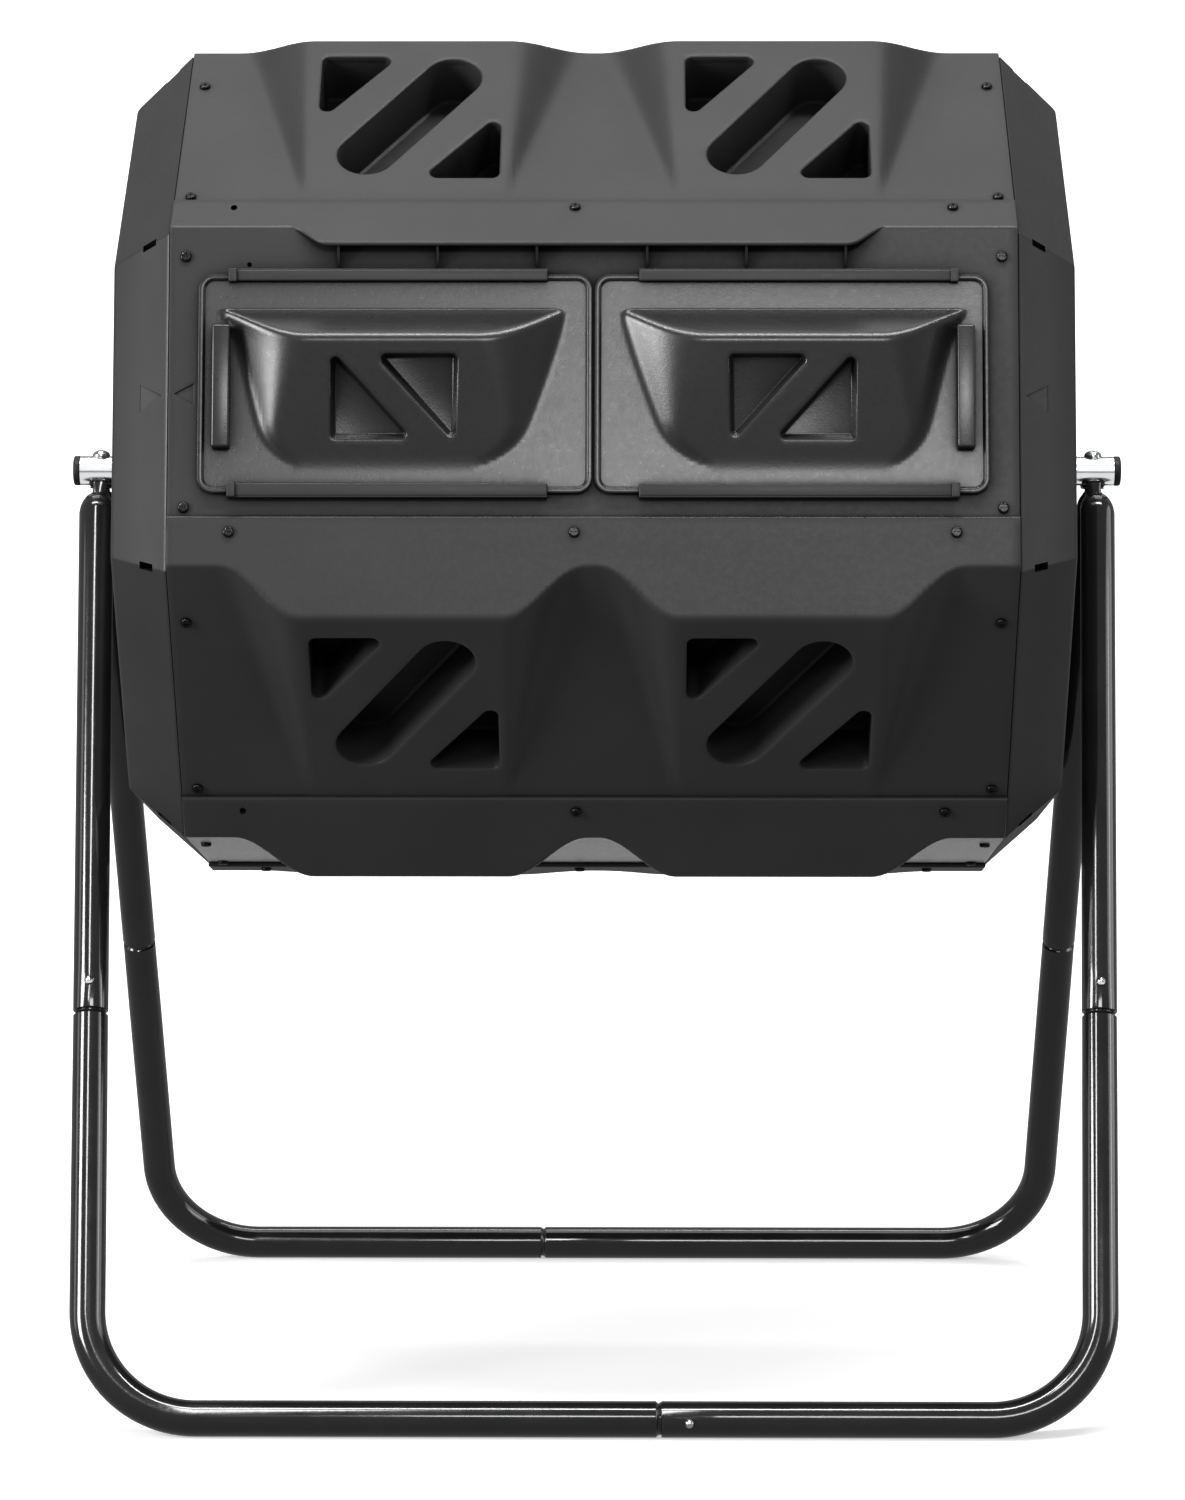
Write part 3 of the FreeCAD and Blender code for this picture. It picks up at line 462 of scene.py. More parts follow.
def rectangle_border(u0, u1, v0, v1, us, vs):
    """Border points on the grid's lines with their outward ways."""
    us = [u for u in us if u0 < u < u1]
    vs = [v for v in vs if v0 < v < v1]
    flat = [(u0, v0)] + [(u, v0) for u in us] + [(u1, v0)] + [(u1, v) for v in vs]
    flat += [(u1, v1)] + [(u, v1) for u in us[::-1]] + [(u0, v1)] + [(u0, v) for v in vs[::-1]]
    flat = np.array(flat)
    out = np.zeros((len(flat), 3))
    out[:, 0] = np.where(flat[:, 0] == u0, -1.0, np.where(flat[:, 0] == u1, 1.0, 0.0))
    out[:, 1] = np.where(flat[:, 1] == v0, -1.0, np.where(flat[:, 1] == v1, 1.0, 0.0))
    flange = flat[:, 1] < CREASE_V
    out[:, 2] = np.where(flange, out[:, 1] * SLANT, 0.0)
    out[:, 1] = np.where(flange, out[:, 1] * SLANT, out[:, 1])
    return flat, out


def bent_sheet(shell, holes, rows_of):
    """Skins and rim of a bent panel; rows_of(us, vs) gives the outer skin's loose points.
    Returns the outer and inner indices of each hole."""
    us = np.arange(-PANEL_HALF_X + EDGE + 3.5, PANEL_HALF_X - EDGE - 3.0, 3.5)
    fine = np.arange(CREASE_V - 3.6, CREASE_V + 6.0, 1.2)
    flange = np.linspace(PANEL_TOP_V, fine[0], 5)[1:-1]
    vs = np.concatenate([flange, fine, np.arange(fine[-1] + 4.0, MAIN_END_V - EDGE - 2.0, 5.0)])
    border, outward = rectangle_border(-PANEL_HALF_X + EDGE, PANEL_HALF_X - EDGE, PANEL_TOP_V,
                                       MAIN_END_V - EDGE, us, vs)
    outer = shell.surface(border, holes, clear_points(rows_of(us, vs), border, 1.0, holes, 1.2), 0.0)
    coarse = plain_grid(np.arange(-PANEL_HALF_X + 12.0, PANEL_HALF_X - 8.0, 10.0), np.concatenate(
        [[-16.0, -8.0, -4.2, 0.0, 6.0, 12.0, 18.0, 24.0], np.arange(34.0, 200.0, 12.0)]))
    inner = shell.surface(border, holes, clear_points(coarse, border, 4.0, holes, 3.0), 1.0)
    shell.rim(border, outward, outer[0], inner[0])
    return outer[1:], inner[1:]


def screw_hole(which):
    """Open hole where a lapped flange has a screw, in the facet coordinates of its own panel."""
    back = SIDE - PANEL_T - SEAM_V
    return circle(SEAM_X[which], CREASE_V - back * SLANT, SCREW_HOLE_R)


def wall_panel_mesh(name, facet, through):
    """Bent panel with two swells, each with two triangle pockets and a slot pocket."""
    slope, lean = slope_of((CREASE_V + SWELL_RISE, SWELL_RISE), (SWELL_LOW_V, 0.0))
    shell = Shell(panel_height, slope, PANEL_SHIFT, EDGE)
    outlines = []
    for middle in SWELL_X:
        for corners in (POCKET_TRI, POCKET_TRI_LOW):
            moved = [(u + middle, v) for u, v in corners]
            outlines.append(lambda grow, c=moved: rounded_outline(c, POCKET_ROUND, grow))
        ends = [(u + middle, v) for u, v in POCKET_SLOT]
        outlines.append(lambda grow, e=ends: slot_outline(*e, POCKET_SLOT_R, grow))

    def rows(us, _):
        crest_v = CREASE_V + SWELL_RISE * np.maximum(swell_up(us, SWELL_X[0]), swell_up(us, SWELL_X[1]))
        return crest_grid(us, crest_v, PANEL_TOP_V, MAIN_END_V - EDGE)

    outer, inner = bent_sheet(shell, [o(POCKET_LIP) for o in outlines] + through, rows)
    for outline, top, low in zip(outlines, outer, inner):
        shell.pocket(outline, lean, POCKET_DEPTH, top, low, POCKET_LIP)
    for top, low in zip(outer[len(outlines):], inner[len(outlines):]):
        shell.faces += bridge(top, low)
    return shell.mesh(name, facet_matrix(facet))


# ---- door panel

HOOD_REACH = 19.0
HOOD_FOOT = (-195.0, 187.0)
HOOD_TOP = (-168.0, 161.0)
HOOD_NOSE_R = 1.5
HOOD_ROOT = -4.0
HOOD_RIBS = (-162.0, -99.0, -36.0, 34.0, 97.0, 160.0)
RIB_HALF_T = 0.8
RIB_END = (23.5, 1.5)
DOORWAY_X = (32.0, 222.0)
DOORWAY_V = (41.0, 157.0)
DOORWAY_ROUND = 8.0
ARROW = ((-266.5, 104.0), (-253.5, 97.0), (-253.5, 111.0))
ARROW_DEPTH = 0.7
PIN_HOLE = (-219.0, 20.5, 1.6)
RAIL_X = (29.0, 231.0)
RAILS = (((24.6, 27.2), (25.4, 32.4)), ((168.6, 171.4), (162.4, 170.6)))
RAIL_LIP_H = (5.5, 8.0)
RAIL_STOP = (4.6, 1.2)


def bevel_box(name, u, v, h, bevel):
    """Box on the facet with rounded edges."""
    thing = box(name, u, v, h, place=facet_points)
    work = bmesh.new()
    work.from_mesh(thing.data)
    bmesh.ops.bevel(work, geom=list(work.edges), offset=bevel * MM, segments=3, profile=0.5, affect="EDGES")
    work.to_mesh(thing.data)
    work.free()
    shade(thing.data)
    return thing


def hood_mesh(name, count=150):
    """Lip that carries the flange's plane past the crease; its nose is rounded."""
    us = np.linspace(HOOD_FOOT[0] - 6.0, HOOD_FOOT[1] + 6.0, count)
    left = s_curve((us - HOOD_FOOT[0]) / (HOOD_TOP[0] - HOOD_FOOT[0]))
    right = s_curve((HOOD_FOOT[1] - us) / (HOOD_FOOT[1] - HOOD_TOP[1]))
    turn = math.pi / 2 - math.pi * np.arange(9) / 8
    rings = []
    for u, far in zip(us, HOOD_REACH * np.minimum(left, right)):
        along = np.array([HOOD_ROOT, *(far - HOOD_NOSE_R + np.cos(turn) * HOOD_NOSE_R), HOOD_ROOT])
        off = np.array([0.02, *(-HOOD_NOSE_R + np.sin(turn) * HOOD_NOSE_R), -2.0 * HOOD_NOSE_R])
        v, h = CREASE_V + (along - off) * SLANT, (along + off) * SLANT
        rings.append(facet_points(np.column_stack([np.full_like(v, u), v, h])))
    return loft(name, rings)


def rib_mesh(name, u):
    """Thin web between the hood and the facet."""
    tip = (CREASE_V + (HOOD_REACH + 0.2) * SLANT, (HOOD_REACH - 4.2) * SLANT)
    flat = [(CREASE_V + 3.0, -RIB_END[1]), tip, RIB_END, (RIB_END[0], -RIB_END[1])]
    sides = (u - RIB_HALF_T, u + RIB_HALF_T)
    return loft(name, [facet_points([(side, v, h) for v, h in flat]) for side in sides])


def rail_meshes(side):
    """The two rails of one door, with their end stops."""
    parts = []
    run = sorted((side * RAIL_X[0], side * RAIL_X[1]))
    stop = sorted((side * (RAIL_X[1] - RAIL_STOP[0]), side * (RAIL_X[1] + 0.5)))
    for web, lip in RAILS:
        parts.append(bevel_box("rail_web", run, web, (-1.0, RAIL_LIP_H[1] - 0.4), 0.4))
        parts.append(bevel_box("rail_lip", run, lip, RAIL_LIP_H, 0.9))
        parts.append(bevel_box("rail_stop", stop, (lip[0] - 0.6, lip[1] + 0.6),
                               (RAIL_LIP_H[0] + 0.2, RAIL_LIP_H[1] + RAIL_STOP[1]), 0.5))
    return parts


def door_panel_mesh(through):
    """Bent panel with two doorways, the hood, its ribs and the rails."""
    shell = Shell(lambda u, v: smin(v - CREASE_V, np.zeros_like(u), 1.5), np.zeros_like, PANEL_SHIFT, EDGE)
    doorways = [rounded_outline([(side * u, v) for u, v in zip(DOORWAY_X + DOORWAY_X[::-1],
                                                               np.repeat(DOORWAY_V, 2))], DOORWAY_ROUND)
                for side in (-1, 1)]

    def mark(grow):
        return rounded_outline(ARROW, 0.5, grow, arc=3, step=4.0)

    outer, inner = bent_sheet(shell, [mark(0.2)] + doorways + through + [circle(*PIN_HOLE)], plain_grid)
    shell.pocket(mark, np.array([0.0, 0.0, -1.0]), ARROW_DEPTH, outer[0], inner[0], lip=0.2, soft=0.2)
    for top, low in zip(outer[1:], inner[1:]):
        shell.faces += bridge(top, low)
    parts = [shell.mesh("door_panel_sheet"), hood_mesh("door_panel_hood")]
    parts += [rib_mesh("door_panel_rib", u) for u in HOOD_RIBS]
    parts += rail_meshes(-1) + rail_meshes(1)
    return join("door_panel_body", parts, facet_matrix(0))


# ---- doors

DOOR_X = (0.7, 250.8)
DOOR_V = (27.6, 168.2)
DOOR_PLATE_H = 3.2
DOOR_RIM_H = 5.0
DOOR_WALL = 2.6
DOOR_EDGE = 0.8
DOOR_ROUND = 10.0
DOOR_CREST = (71.0, 24.0)
DOOR_FOOT_V = 50.0
DOOR_LOW_V = 150.0
DOOR_RISE = DOOR_CREST[1] - DOOR_PLATE_H
DOOR_FOOT_X = (18.0, 238.6)
DOOR_SIDE_X = (50.0, 46.0)
DOOR_FOOT_SLOPE = 0.65
DOOR_CORNER_V = 118.0
DOOR_TRI_INNER = ((86.0, 82.5), (137.5, 82.5), (87.0, 136.5))
DOOR_TRI_OUTER = ((166.0, 134.0), (114.5, 134.0), (165.5, 80.0))
GRIP = ((230.0, 241.4), (61.5, 140.0), (2.0, 13.5))
GRIP_ROUND = 1.4


def door_edge_distance(u, v):
    """How far inside the door's rounded outline a point is."""
    au = np.abs(u - (DOOR_X[0] + DOOR_X[1]) / 2) - ((DOOR_X[1] - DOOR_X[0]) / 2 - DOOR_ROUND)
    av = np.abs(v - (DOOR_V[0] + DOOR_V[1]) / 2) - ((DOOR_V[1] - DOOR_V[0]) / 2 - DOOR_ROUND)
    outside = np.hypot(np.maximum(au, 0), np.maximum(av, 0)) + np.minimum(np.maximum(au, av), 0)
    return DOOR_ROUND - outside


def door_foot(v):
    """Inner and outer foot of a door's swell: drawn in downward, with round lower corners."""
    down = np.clip((v - DOOR_FOOT_V) / (DOOR_LOW_V - DOOR_FOOT_V), 0.0, 1.0)
    corner = np.clip((v - DOOR_CORNER_V) / (DOOR_LOW_V - DOOR_CORNER_V), 0.0, 1.0) ** 3
    inner = DOOR_FOOT_X[0] + 34.0 * down ** 1.2 + 24.0 * corner
    outer = DOOR_FOOT_X[1] - 12.0 * (1.0 - np.exp(-down * 8.0)) - 22.0 * down ** 1.3 - 18.0 * corner
    return inner, outer


def door_side(gap, span):
    """Share of the full height on a swell's rounded side, a gap inward from its foot."""
    share = gap / span
    return np.where(share > 0, np.sin(math.pi / 2 * np.clip(share, 0.0, 1.0)), share * math.pi / 2)


def door_front(u, v):
    """Height of a door's front face, rounded off towards both feet."""
    inner, outer = door_foot(v)
    level = DOOR_RISE * (DOOR_LOW_V - v) / (DOOR_LOW_V - DOOR_CREST[0])
    spread = np.maximum(level / DOOR_RISE, 0.05)
    sides = np.minimum(door_side(u - inner, DOOR_SIDE_X[0] * spread),
                       door_side(outer - u, DOOR_SIDE_X[1] * spread))
    outside = np.minimum(np.minimum(u - inner, outer - u) * DOOR_FOOT_SLOPE, np.minimum(level, 0.0))
    return np.where(sides > 0, np.where(level > 0, level * sides, level), outside)


def door_crest(us):
    """Row of the ridge at each u."""
    rows = np.linspace(DOOR_FOOT_V, DOOR_CREST[0], 43)
    gaps = [np.abs(rows - DOOR_FOOT_V - np.maximum(door_front(np.full_like(rows, u), rows), 0.0)) for u in us]
    return np.array([rows[np.argmin(gap)] for gap in gaps])


def door_height(u, v):
    """Outer surface of a door: plate, rim, and a swell with an upper face, a front and two sides."""
    swell = smin(v - DOOR_FOOT_V, door_front(u, v), 5.0)
    soft = 0.2 + 1.4 * s_curve((v - DOOR_FOOT_V - 4.0) / 14.0)
    body = DOOR_PLATE_H + smax(np.zeros_like(u), swell, soft)
    gap = door_edge_distance(u, v)
    return body + (DOOR_RIM_H - DOOR_PLATE_H) * (1.0 - s_curve((gap - 2.9) / 1.5))


def door_mesh(name, side):
    """Sliding door with rim, swell, two triangle recesses and a grip."""
    slope, lean = slope_of(DOOR_CREST, (DOOR_LOW_V, DOOR_PLATE_H))
    shell = Shell(door_height, slope, (0.0, 0.0, -DOOR_WALL), DOOR_EDGE)
    corners = list(zip(DOOR_X + DOOR_X[::-1], np.repeat(DOOR_V, 2)))

    def ring(grow):
        return rounded_outline(corners, DOOR_ROUND, grow, arc=8, step=5.0)

    border = ring(-DOOR_EDGE)
    out = ring(0.2) - border
    outlines = [lambda grow, t=t: rounded_outline(t, 3.0, grow, arc=6, step=5.0)
                for t in (DOOR_TRI_INNER, DOOR_TRI_OUTER)]
    holes = [o(1.5) for o in outlines]
    us = np.arange(6.0, 248.0, 2.6)
    rows = crest_grid(us, door_crest(us), DOOR_V[0], DOOR_V[1], 8, 36)
    rows = rows[np.abs(rows[:, 1] - DOOR_FOOT_V) > 2.0]
    foot_rows = plain_grid(us, DOOR_FOOT_V + np.array([-1.2, -0.3, 0.1, 0.5, 1.4]))
    rows = clear_points(np.concatenate([rows, foot_rows]), border, 6.2, holes, 1.0)
    rim_rows = [ring(-offset) for offset in (1.8, 2.8, 3.3, 3.8, 4.4, 5.4)]
    outer = shell.surface(border, holes, np.concatenate(rim_rows + [rows]), 0.0)
    coarse = plain_grid(np.arange(8.0, 246.0, 6.0), np.arange(36.0, 164.0, 5.0))
    inner = shell.surface(border, holes, clear_points(coarse, border, 4.0, holes, 3.0), 1.0)
    shell.rim(border, np.column_stack([out, np.zeros(len(out))]), outer[0], inner[0])
    for outline, top, low in zip(outlines, outer[1:], inner[1:]):
        shell.pocket(outline, lean, 6.0, top, low, lip=1.5, soft=1.0, back=2.4, tilt=0.015, draft=2.0)
    parts = [shell.mesh(name + "_plate"), bevel_box(name + "_grip", *GRIP, GRIP_ROUND)]
    return on_side(join(name + "_body", parts), side)


# ---- end caps

CAP_HALF_X = 309.0
CAP_FACE_R = 248.0
CAP_WALL = 3.0
CORNER_R = 3.0
SKIRT_X = 245.0
SKIRT_GAP = 0.1
HUB_R = 17.0
HUB_BORE_R = 10.07
HUB_X = (284.0, 312.5)
VENT = (9.0, 28.0, 5.0)
VENT_X = 284.0
MARK = ((274.5, 5.0, 1.6), (289.5, -4.0, 0.3), (289.5, 14.0, 0.3))


def octagon_ring(x, radius, rounding, arc=6, side=4):
    """Octagon with rounded corners as points; a full circle where rounding is None."""
    turns = [HALF * (2 * i + 1) for i in range(9)]
    if rounding is None:
        steps = [HALF * (2.0 * j / (arc + side) - 1.0) for j in range(arc + side)]
        turns = [turn + step for turn in turns[:8] for step in steps]
        return [(x, radius * math.cos(turn), radius * math.sin(turn)) for turn in turns]
    centre = (radius * math.cos(HALF) - rounding) / math.cos(HALF)
    fans = [[(centre * math.cos(turn) + rounding * math.cos(turn - HALF + 2 * HALF * j / arc),
              centre * math.sin(turn) + rounding * math.sin(turn - HALF + 2 * HALF * j / arc))
             for j in range(arc + 1)] for turn in turns]
    points = []
    for fan, after in zip(fans, fans[1:]):
        a, b = fan[-1], after[0]
        points += fan
        points += [(a[0] + (b[0] - a[0]) * j / side, a[1] + (b[1] - a[1]) * j / side) for j in range(1, side)]
    return [(x, y, z) for y, z in points]


def end_cap_mesh(name, side):
    """Dished octagonal end with skirt, hub, vents at the creases and a triangle mark."""
    skirt = R_OUT - (PANEL_T + SKIRT_GAP) / math.cos(HALF)
    edge_x = PANEL_HALF_X + SKIRT_GAP
    fall = (R_OUT - CAP_FACE_R) / (CAP_HALF_X - edge_x)
    wall = CAP_WALL / math.cos(HALF)
    back_x = CAP_HALF_X - CAP_WALL
    octagons = [(SKIRT_X, skirt), (edge_x, skirt), (edge_x, R_OUT - 1.2), (edge_x + 0.25, R_OUT - 0.5),
                (edge_x + 0.8, R_OUT - 0.35 - 0.8 * fall * 0.4)]
    for share in (0.06, 0.5, 0.94):
        run = share * (CAP_HALF_X - edge_x)
        octagons.append((edge_x + run, R_OUT - fall * run))
    octagons += [(CAP_HALF_X - 1.0, CAP_FACE_R + 0.6), (CAP_HALF_X - 0.35, CAP_FACE_R - 0.6),
                 (CAP_HALF_X, CAP_FACE_R - 2.4), (CAP_HALF_X, CAP_FACE_R - 12.0)]
    hub = [(CAP_HALF_X, HUB_R + 3.0), (CAP_HALF_X + 0.8, HUB_R + 0.8), (HUB_X[1] - 0.8, HUB_R),
           (HUB_X[1], HUB_R - 0.8), (HUB_X[1], HUB_BORE_R + 0.6), (HUB_X[1] - 0.6, HUB_BORE_R),
           (HUB_X[0], HUB_BORE_R), (HUB_X[0], HUB_R), (back_x, HUB_R)]
    inside_face = [(back_x, CAP_FACE_R - 14.0), (back_x, CAP_FACE_R - wall), (edge_x, R_OUT - 2 * wall),
                   (edge_x, skirt - wall), (SKIRT_X, skirt - wall)]
    rings = [octagon_ring(x, r, CORNER_R) for x, r in octagons]
    rings += [octagon_ring(x, r, None) for x, r in hub]
    rings += [octagon_ring(x, r, CORNER_R) for x, r in inside_face]
    cap = loft(name, rings, closed=True)
    vent = ((VENT_X - VENT[0] / 2, VENT_X + VENT[0] / 2), (-R_OUT - 6.0, VENT[1] - R_OUT - 6.0),
            (-VENT[2] / 2, VENT[2] / 2))
    cutters = [box("cut_box", *vent, Matrix.Rotation(HALF * (2 * facet + 1), 4, "X")) for facet in range(8)]
    slope = fall * math.cos(HALF)
    mark = np.array([(x, -APOTHEM + slope * (x - edge_x) + deep, z) for x, z, deep in MARK])
    cutters.append(loft("cut_mark", [mark, mark - (0.0, 9.0, 0.0)]))
    carve(cap, cutters)
    on_side(cap, side)
    shade(cap.data, 30.0)
    return cap


# ---- stand

TUBE_R = 11.7
TUBE_LIP_R = 10.3
INSERT_R = 10.0
INSERT_LEN = 42.0
LEG_TOP = (342.3, 15.3, AXLE_Z - 28.5)
LEG_FOOT = (327.0, 276.0, TUBE_R)
JOINT_Z = 259.0
BEND_R = 72.0
BAR_JOINT_X = 44.0
SHOULDER_GAP = 3.6
BUTTON_INSET = 18.0
BUTTON_HOLE_R = 3.25
AXLE_R = 10.0
BOLT_X = 340.0
SADDLE_T = 1.3
SADDLE_PLAY = 0.1
SADDLE_HALF_X = (4.0, 8.0)
NECK_ANGLE = 41.0
# distance up from the leg's top, half width along the axle, half width across it
LEG_DOME = ((0.0, 11.7, 11.7), (2.5, 11.55, 11.5), (5.0, 11.1, 10.9), (7.5, 10.4, 9.9), (9.5, 9.5, 8.7),
            (11.2, 8.5, 7.2), (12.5, 7.5, 5.8), (13.5, 6.6, 4.6), (14.4, 5.8, 3.7), (15.2, 5.2, 3.1))
# distance into the tube from its shoulder and radius, from the full tube to the end of the insert
INSERT_END = ((0.2, TUBE_R - 0.15), (0.7, TUBE_R - 0.7), (1.6, INSERT_R + 0.25), (2.6, INSERT_R),
              (SHOULDER_GAP + INSERT_LEN - 5.5, INSERT_R), (SHOULDER_GAP + INSERT_LEN - 4.0, INSERT_R - 1.2))


def sweep(name, stations, hint, sides=48):
    """Tube along stations of (point, half width a, half width b); a lies along the hint."""
    rings = []
    turn = np.linspace(0, 2 * math.pi, sides, endpoint=False)
    for i, (point, a, b) in enumerate(stations):
        way = stations[min(i + 1, len(stations) - 1)][0] - stations[max(i - 1, 0)][0]
        way = unit(way) if np.linalg.norm(way) > 1e-6 else unit(stations[-1][0] - stations[0][0])
        across = np.array(hint, float)
        across = unit(across - way * (across @ way))
        other = np.cross(way, across)
        rings.append(point + np.outer(np.cos(turn), across) * a + np.outer(np.sin(turn), other) * b)
    return loft(name, rings)


def leg_points(sx, sy):
    top = np.array([sx * LEG_TOP[0], sy * LEG_TOP[1], LEG_TOP[2]])
    foot = np.array([sx * LEG_FOOT[0], sy * LEG_FOOT[1], LEG_FOOT[2]])
    way = unit(foot - top)
    joint = top + way * ((top[2] - JOINT_Z) / -way[2])
    return top, foot, way, joint


def button_site(sx, sy):
    _, _, way, joint = leg_points(sx, sy)
    out = np.array([0.0, sy, 0.0])
    return joint - way * BUTTON_INSET, unit(out - way * (out @ way))


def bar_site(sy):
    return np.array([-sy * (BAR_JOINT_X + BUTTON_INSET), sy * LEG_FOOT[1], TUBE_R]), np.array([0.0, sy, 0.0])


def pit(point, face):
    """Cutter for the hole that a snap button looks out of."""
    start = point + face * (TUBE_R - 1.5)
    stations = [(p, BUTTON_HOLE_R, BUTTON_HOLE_R) for p in (start, start + face * 8.0)]
    return sweep("cut_pit", stations, (1.0, 0.02, 0.03), 24)


def upper_leg_mesh(name, sx, sy):
    """Straight tube, its top drawn in to a flat neck that ends in a saddle under the axle."""
    top, _, way, joint = leg_points(sx, sy)
    along_axle = (1.0, 0.0, 0.0)
    up = -way
    straight = np.linalg.norm(top - joint)
    marks = [(0.0, TUBE_LIP_R), (0.0, TUBE_R - 0.35), (0.12, TUBE_R - 0.1), (0.5, TUBE_R), (30.0, TUBE_R)]
    marks += [(straight * share, TUBE_R) for share in (0.3, 0.6, 0.85)]
    stations = [(joint + up * along, r, r) for along, r in marks]

    level = 0.0 if sy < 0 else SADDLE_T
    half_t = SADDLE_T / 2.0 - SADDLE_PLAY / 2.0
    radius = AXLE_R + SADDLE_PLAY + level + half_t

    def on_saddle(degrees):
        turn = math.radians(degrees)
        return np.array([sx * BOLT_X, sy * radius * math.cos(turn), AXLE_Z - radius * math.sin(turn)])

    last = top
    for along, a, b in LEG_DOME:
        pull = np.array([sx * (BOLT_X - LEG_TOP[0]), 0.0, 0.0]) * min(along / 14.0, 1.0)
        last = top + up * along + pull
        stations.append((last, a, b))
    neck = on_saddle(NECK_ANGLE) - last
    stations += [(last + neck * 0.45, 4.75, 2.4), (last + neck, 5.2, 0.6)]
    tube = sweep(name + "_tube", stations, along_axle)
    carve(tube, [pit(*button_site(sx, sy))])

    plate = []
    narrow, wide = SADDLE_HALF_X
    for i in range(25):
        ease = min(min(i, 24 - i) / 6.0, 1.0)
        width = narrow + (wide - narrow) * math.sqrt(1.0 - (1.0 - ease) ** 2)
        plate.append((on_saddle(32.0 + 90.0 * i / 24.0), width, half_t))
    return join(name + "_body", [tube, sweep(name + "_saddle", plate, along_axle, 24)])


def bend(start, corner, finish, steps=26):
    """Centre line with one round bend, without its two ends."""
    a = unit(start - corner)
    b = unit(finish - corner)
    half = math.acos(np.clip(a @ b, -1, 1)) / 2.0
    reach = BEND_R / math.tan(half)
    centre = corner + unit(a + b) * BEND_R / math.sin(half)
    p = corner + a * reach
    q = corner + b * reach
    e0 = unit(p - centre)
    e1 = np.cross(unit(np.cross(e0, q - centre)), e0)
    turns = [(math.pi - 2.0 * half) * i / steps for i in range(steps + 1)]
    arc = [centre + BEND_R * (e0 * math.cos(t) + e1 * math.sin(t)) for t in turns]
    return [start + (p - start) * t for t in (0.3, 0.65)] + arc + [q + (finish - q) * t for t in (0.35, 0.7)]


def lower_leg_mesh(name, sx, sy, long_bar):
    """L-shaped tube with its drawn-in end or ends."""
    _, foot, way, joint = leg_points(sx, sy)
    start = joint + way * SHOULDER_GAP
    side = np.array([-sx, 0.0, 0.0])
    finish = np.array([-sy * BAR_JOINT_X, sy * LEG_FOOT[1], TUBE_R])
    if long_bar:
        finish = finish - side * SHOULDER_GAP
        tail = ((-0.4, TUBE_R),) + INSERT_END
    else:
        tail = ((-0.5, TUBE_R), (-0.12, TUBE_R - 0.1), (0.0, TUBE_R - 0.35), (0.0, TUBE_LIP_R))
    stations = [(start - way * along, r, r) for along, r in INSERT_END[::-1]]
    stations += [(p, TUBE_R, TUBE_R) for p in bend(start, foot, finish)]
    stations += [(finish + side * along, r, r) for along, r in tail]
    tube = sweep(name + "_body", stations, (0.0, 1.0, 0.0))
    if not long_bar:
        carve(tube, [pit(*bar_site(sy))])
    return tube


def lathe(name, point, face, profile, sides=32):
    """Turned piece: profile of (along, radius) from the axis point."""
    face = np.array(face, float)
    hint = np.array([0.0, 0.0, 1.0]) if abs(face[2]) < 0.9 else np.array([1.0, 0.0, 0.0])
    across = unit(hint - face * (hint @ face))
    other = np.cross(face, across)
    turn = np.linspace(0, 2 * math.pi, sides, endpoint=False)
    circle_points = np.outer(np.cos(turn), across) + np.outer(np.sin(turn), other)
    return loft(name, [point + face * along + circle_points * radius for along, radius in profile])


def crown(base, rise, radius, first, share, steps):
    """Domed end of a lathe profile, from a first angle to a share of a right angle."""
    turns = np.linspace(first, math.pi / 2 * share, steps)
    return [(base + rise * math.sin(t), radius * math.cos(t)) for t in turns]


def button_mesh(name, point, face):
    profile = [(5.8, 4.1), (6.0, 4.4), (6.7, 4.4), (6.9, 4.1), (6.9, 3.0)]
    return lathe(name, point, face, profile + crown(11.7, 3.0, 3.0, 0.0, 0.985, 8), 28)


def axle_tube_mesh(name, edge=0.4):
    profile = [(-AXLE_HALF, AXLE_R - edge), (-AXLE_HALF + edge, AXLE_R), (AXLE_HALF - edge, AXLE_R),
               (AXLE_HALF, AXLE_R - edge)]
    return lathe(name, (0.0, 0.0, AXLE_Z), (1, 0, 0), profile, 64)


def axle_cap_mesh(name, side):
    """Domed plug in the end of the axle."""
    profile = [(-8.0, 8.2), (0.0, 8.2), (0.0, 9.9), (0.25, 10.15), (0.6, 10.2), (2.9, 10.2), (3.6, 10.0),
               (4.1, 9.4), (4.4, 8.2), (4.47, 5.0), (4.5, 1.0)]
    return lathe(name, (side * AXLE_HALF, 0.0, AXLE_Z), (side, 0, 0), profile, 48)


def axle_bolts_mesh(name):
    """Domed bolts that hold the axle on the saddles."""
    profile = [(-17.5, 2.6), (-17.2, 2.9), (8.6, 2.9), (8.6, 5.7), (9.2, 6.0), (10.4, 6.0)]
    profile += crown(10.4, 3.8, 6.0, 0.1, 0.98, 9)
    return join(name, [lathe("axle_bolt", (side * BOLT_X, 0.0, AXLE_Z), (0, 0, 1), profile, 40)
                       for side in (-1, 1)])


# ---- materials

def fill(node, values):
    """Sets inputs of a node by name."""
    for socket, value in values.items():
        node.inputs[socket].default_value = value
    return node


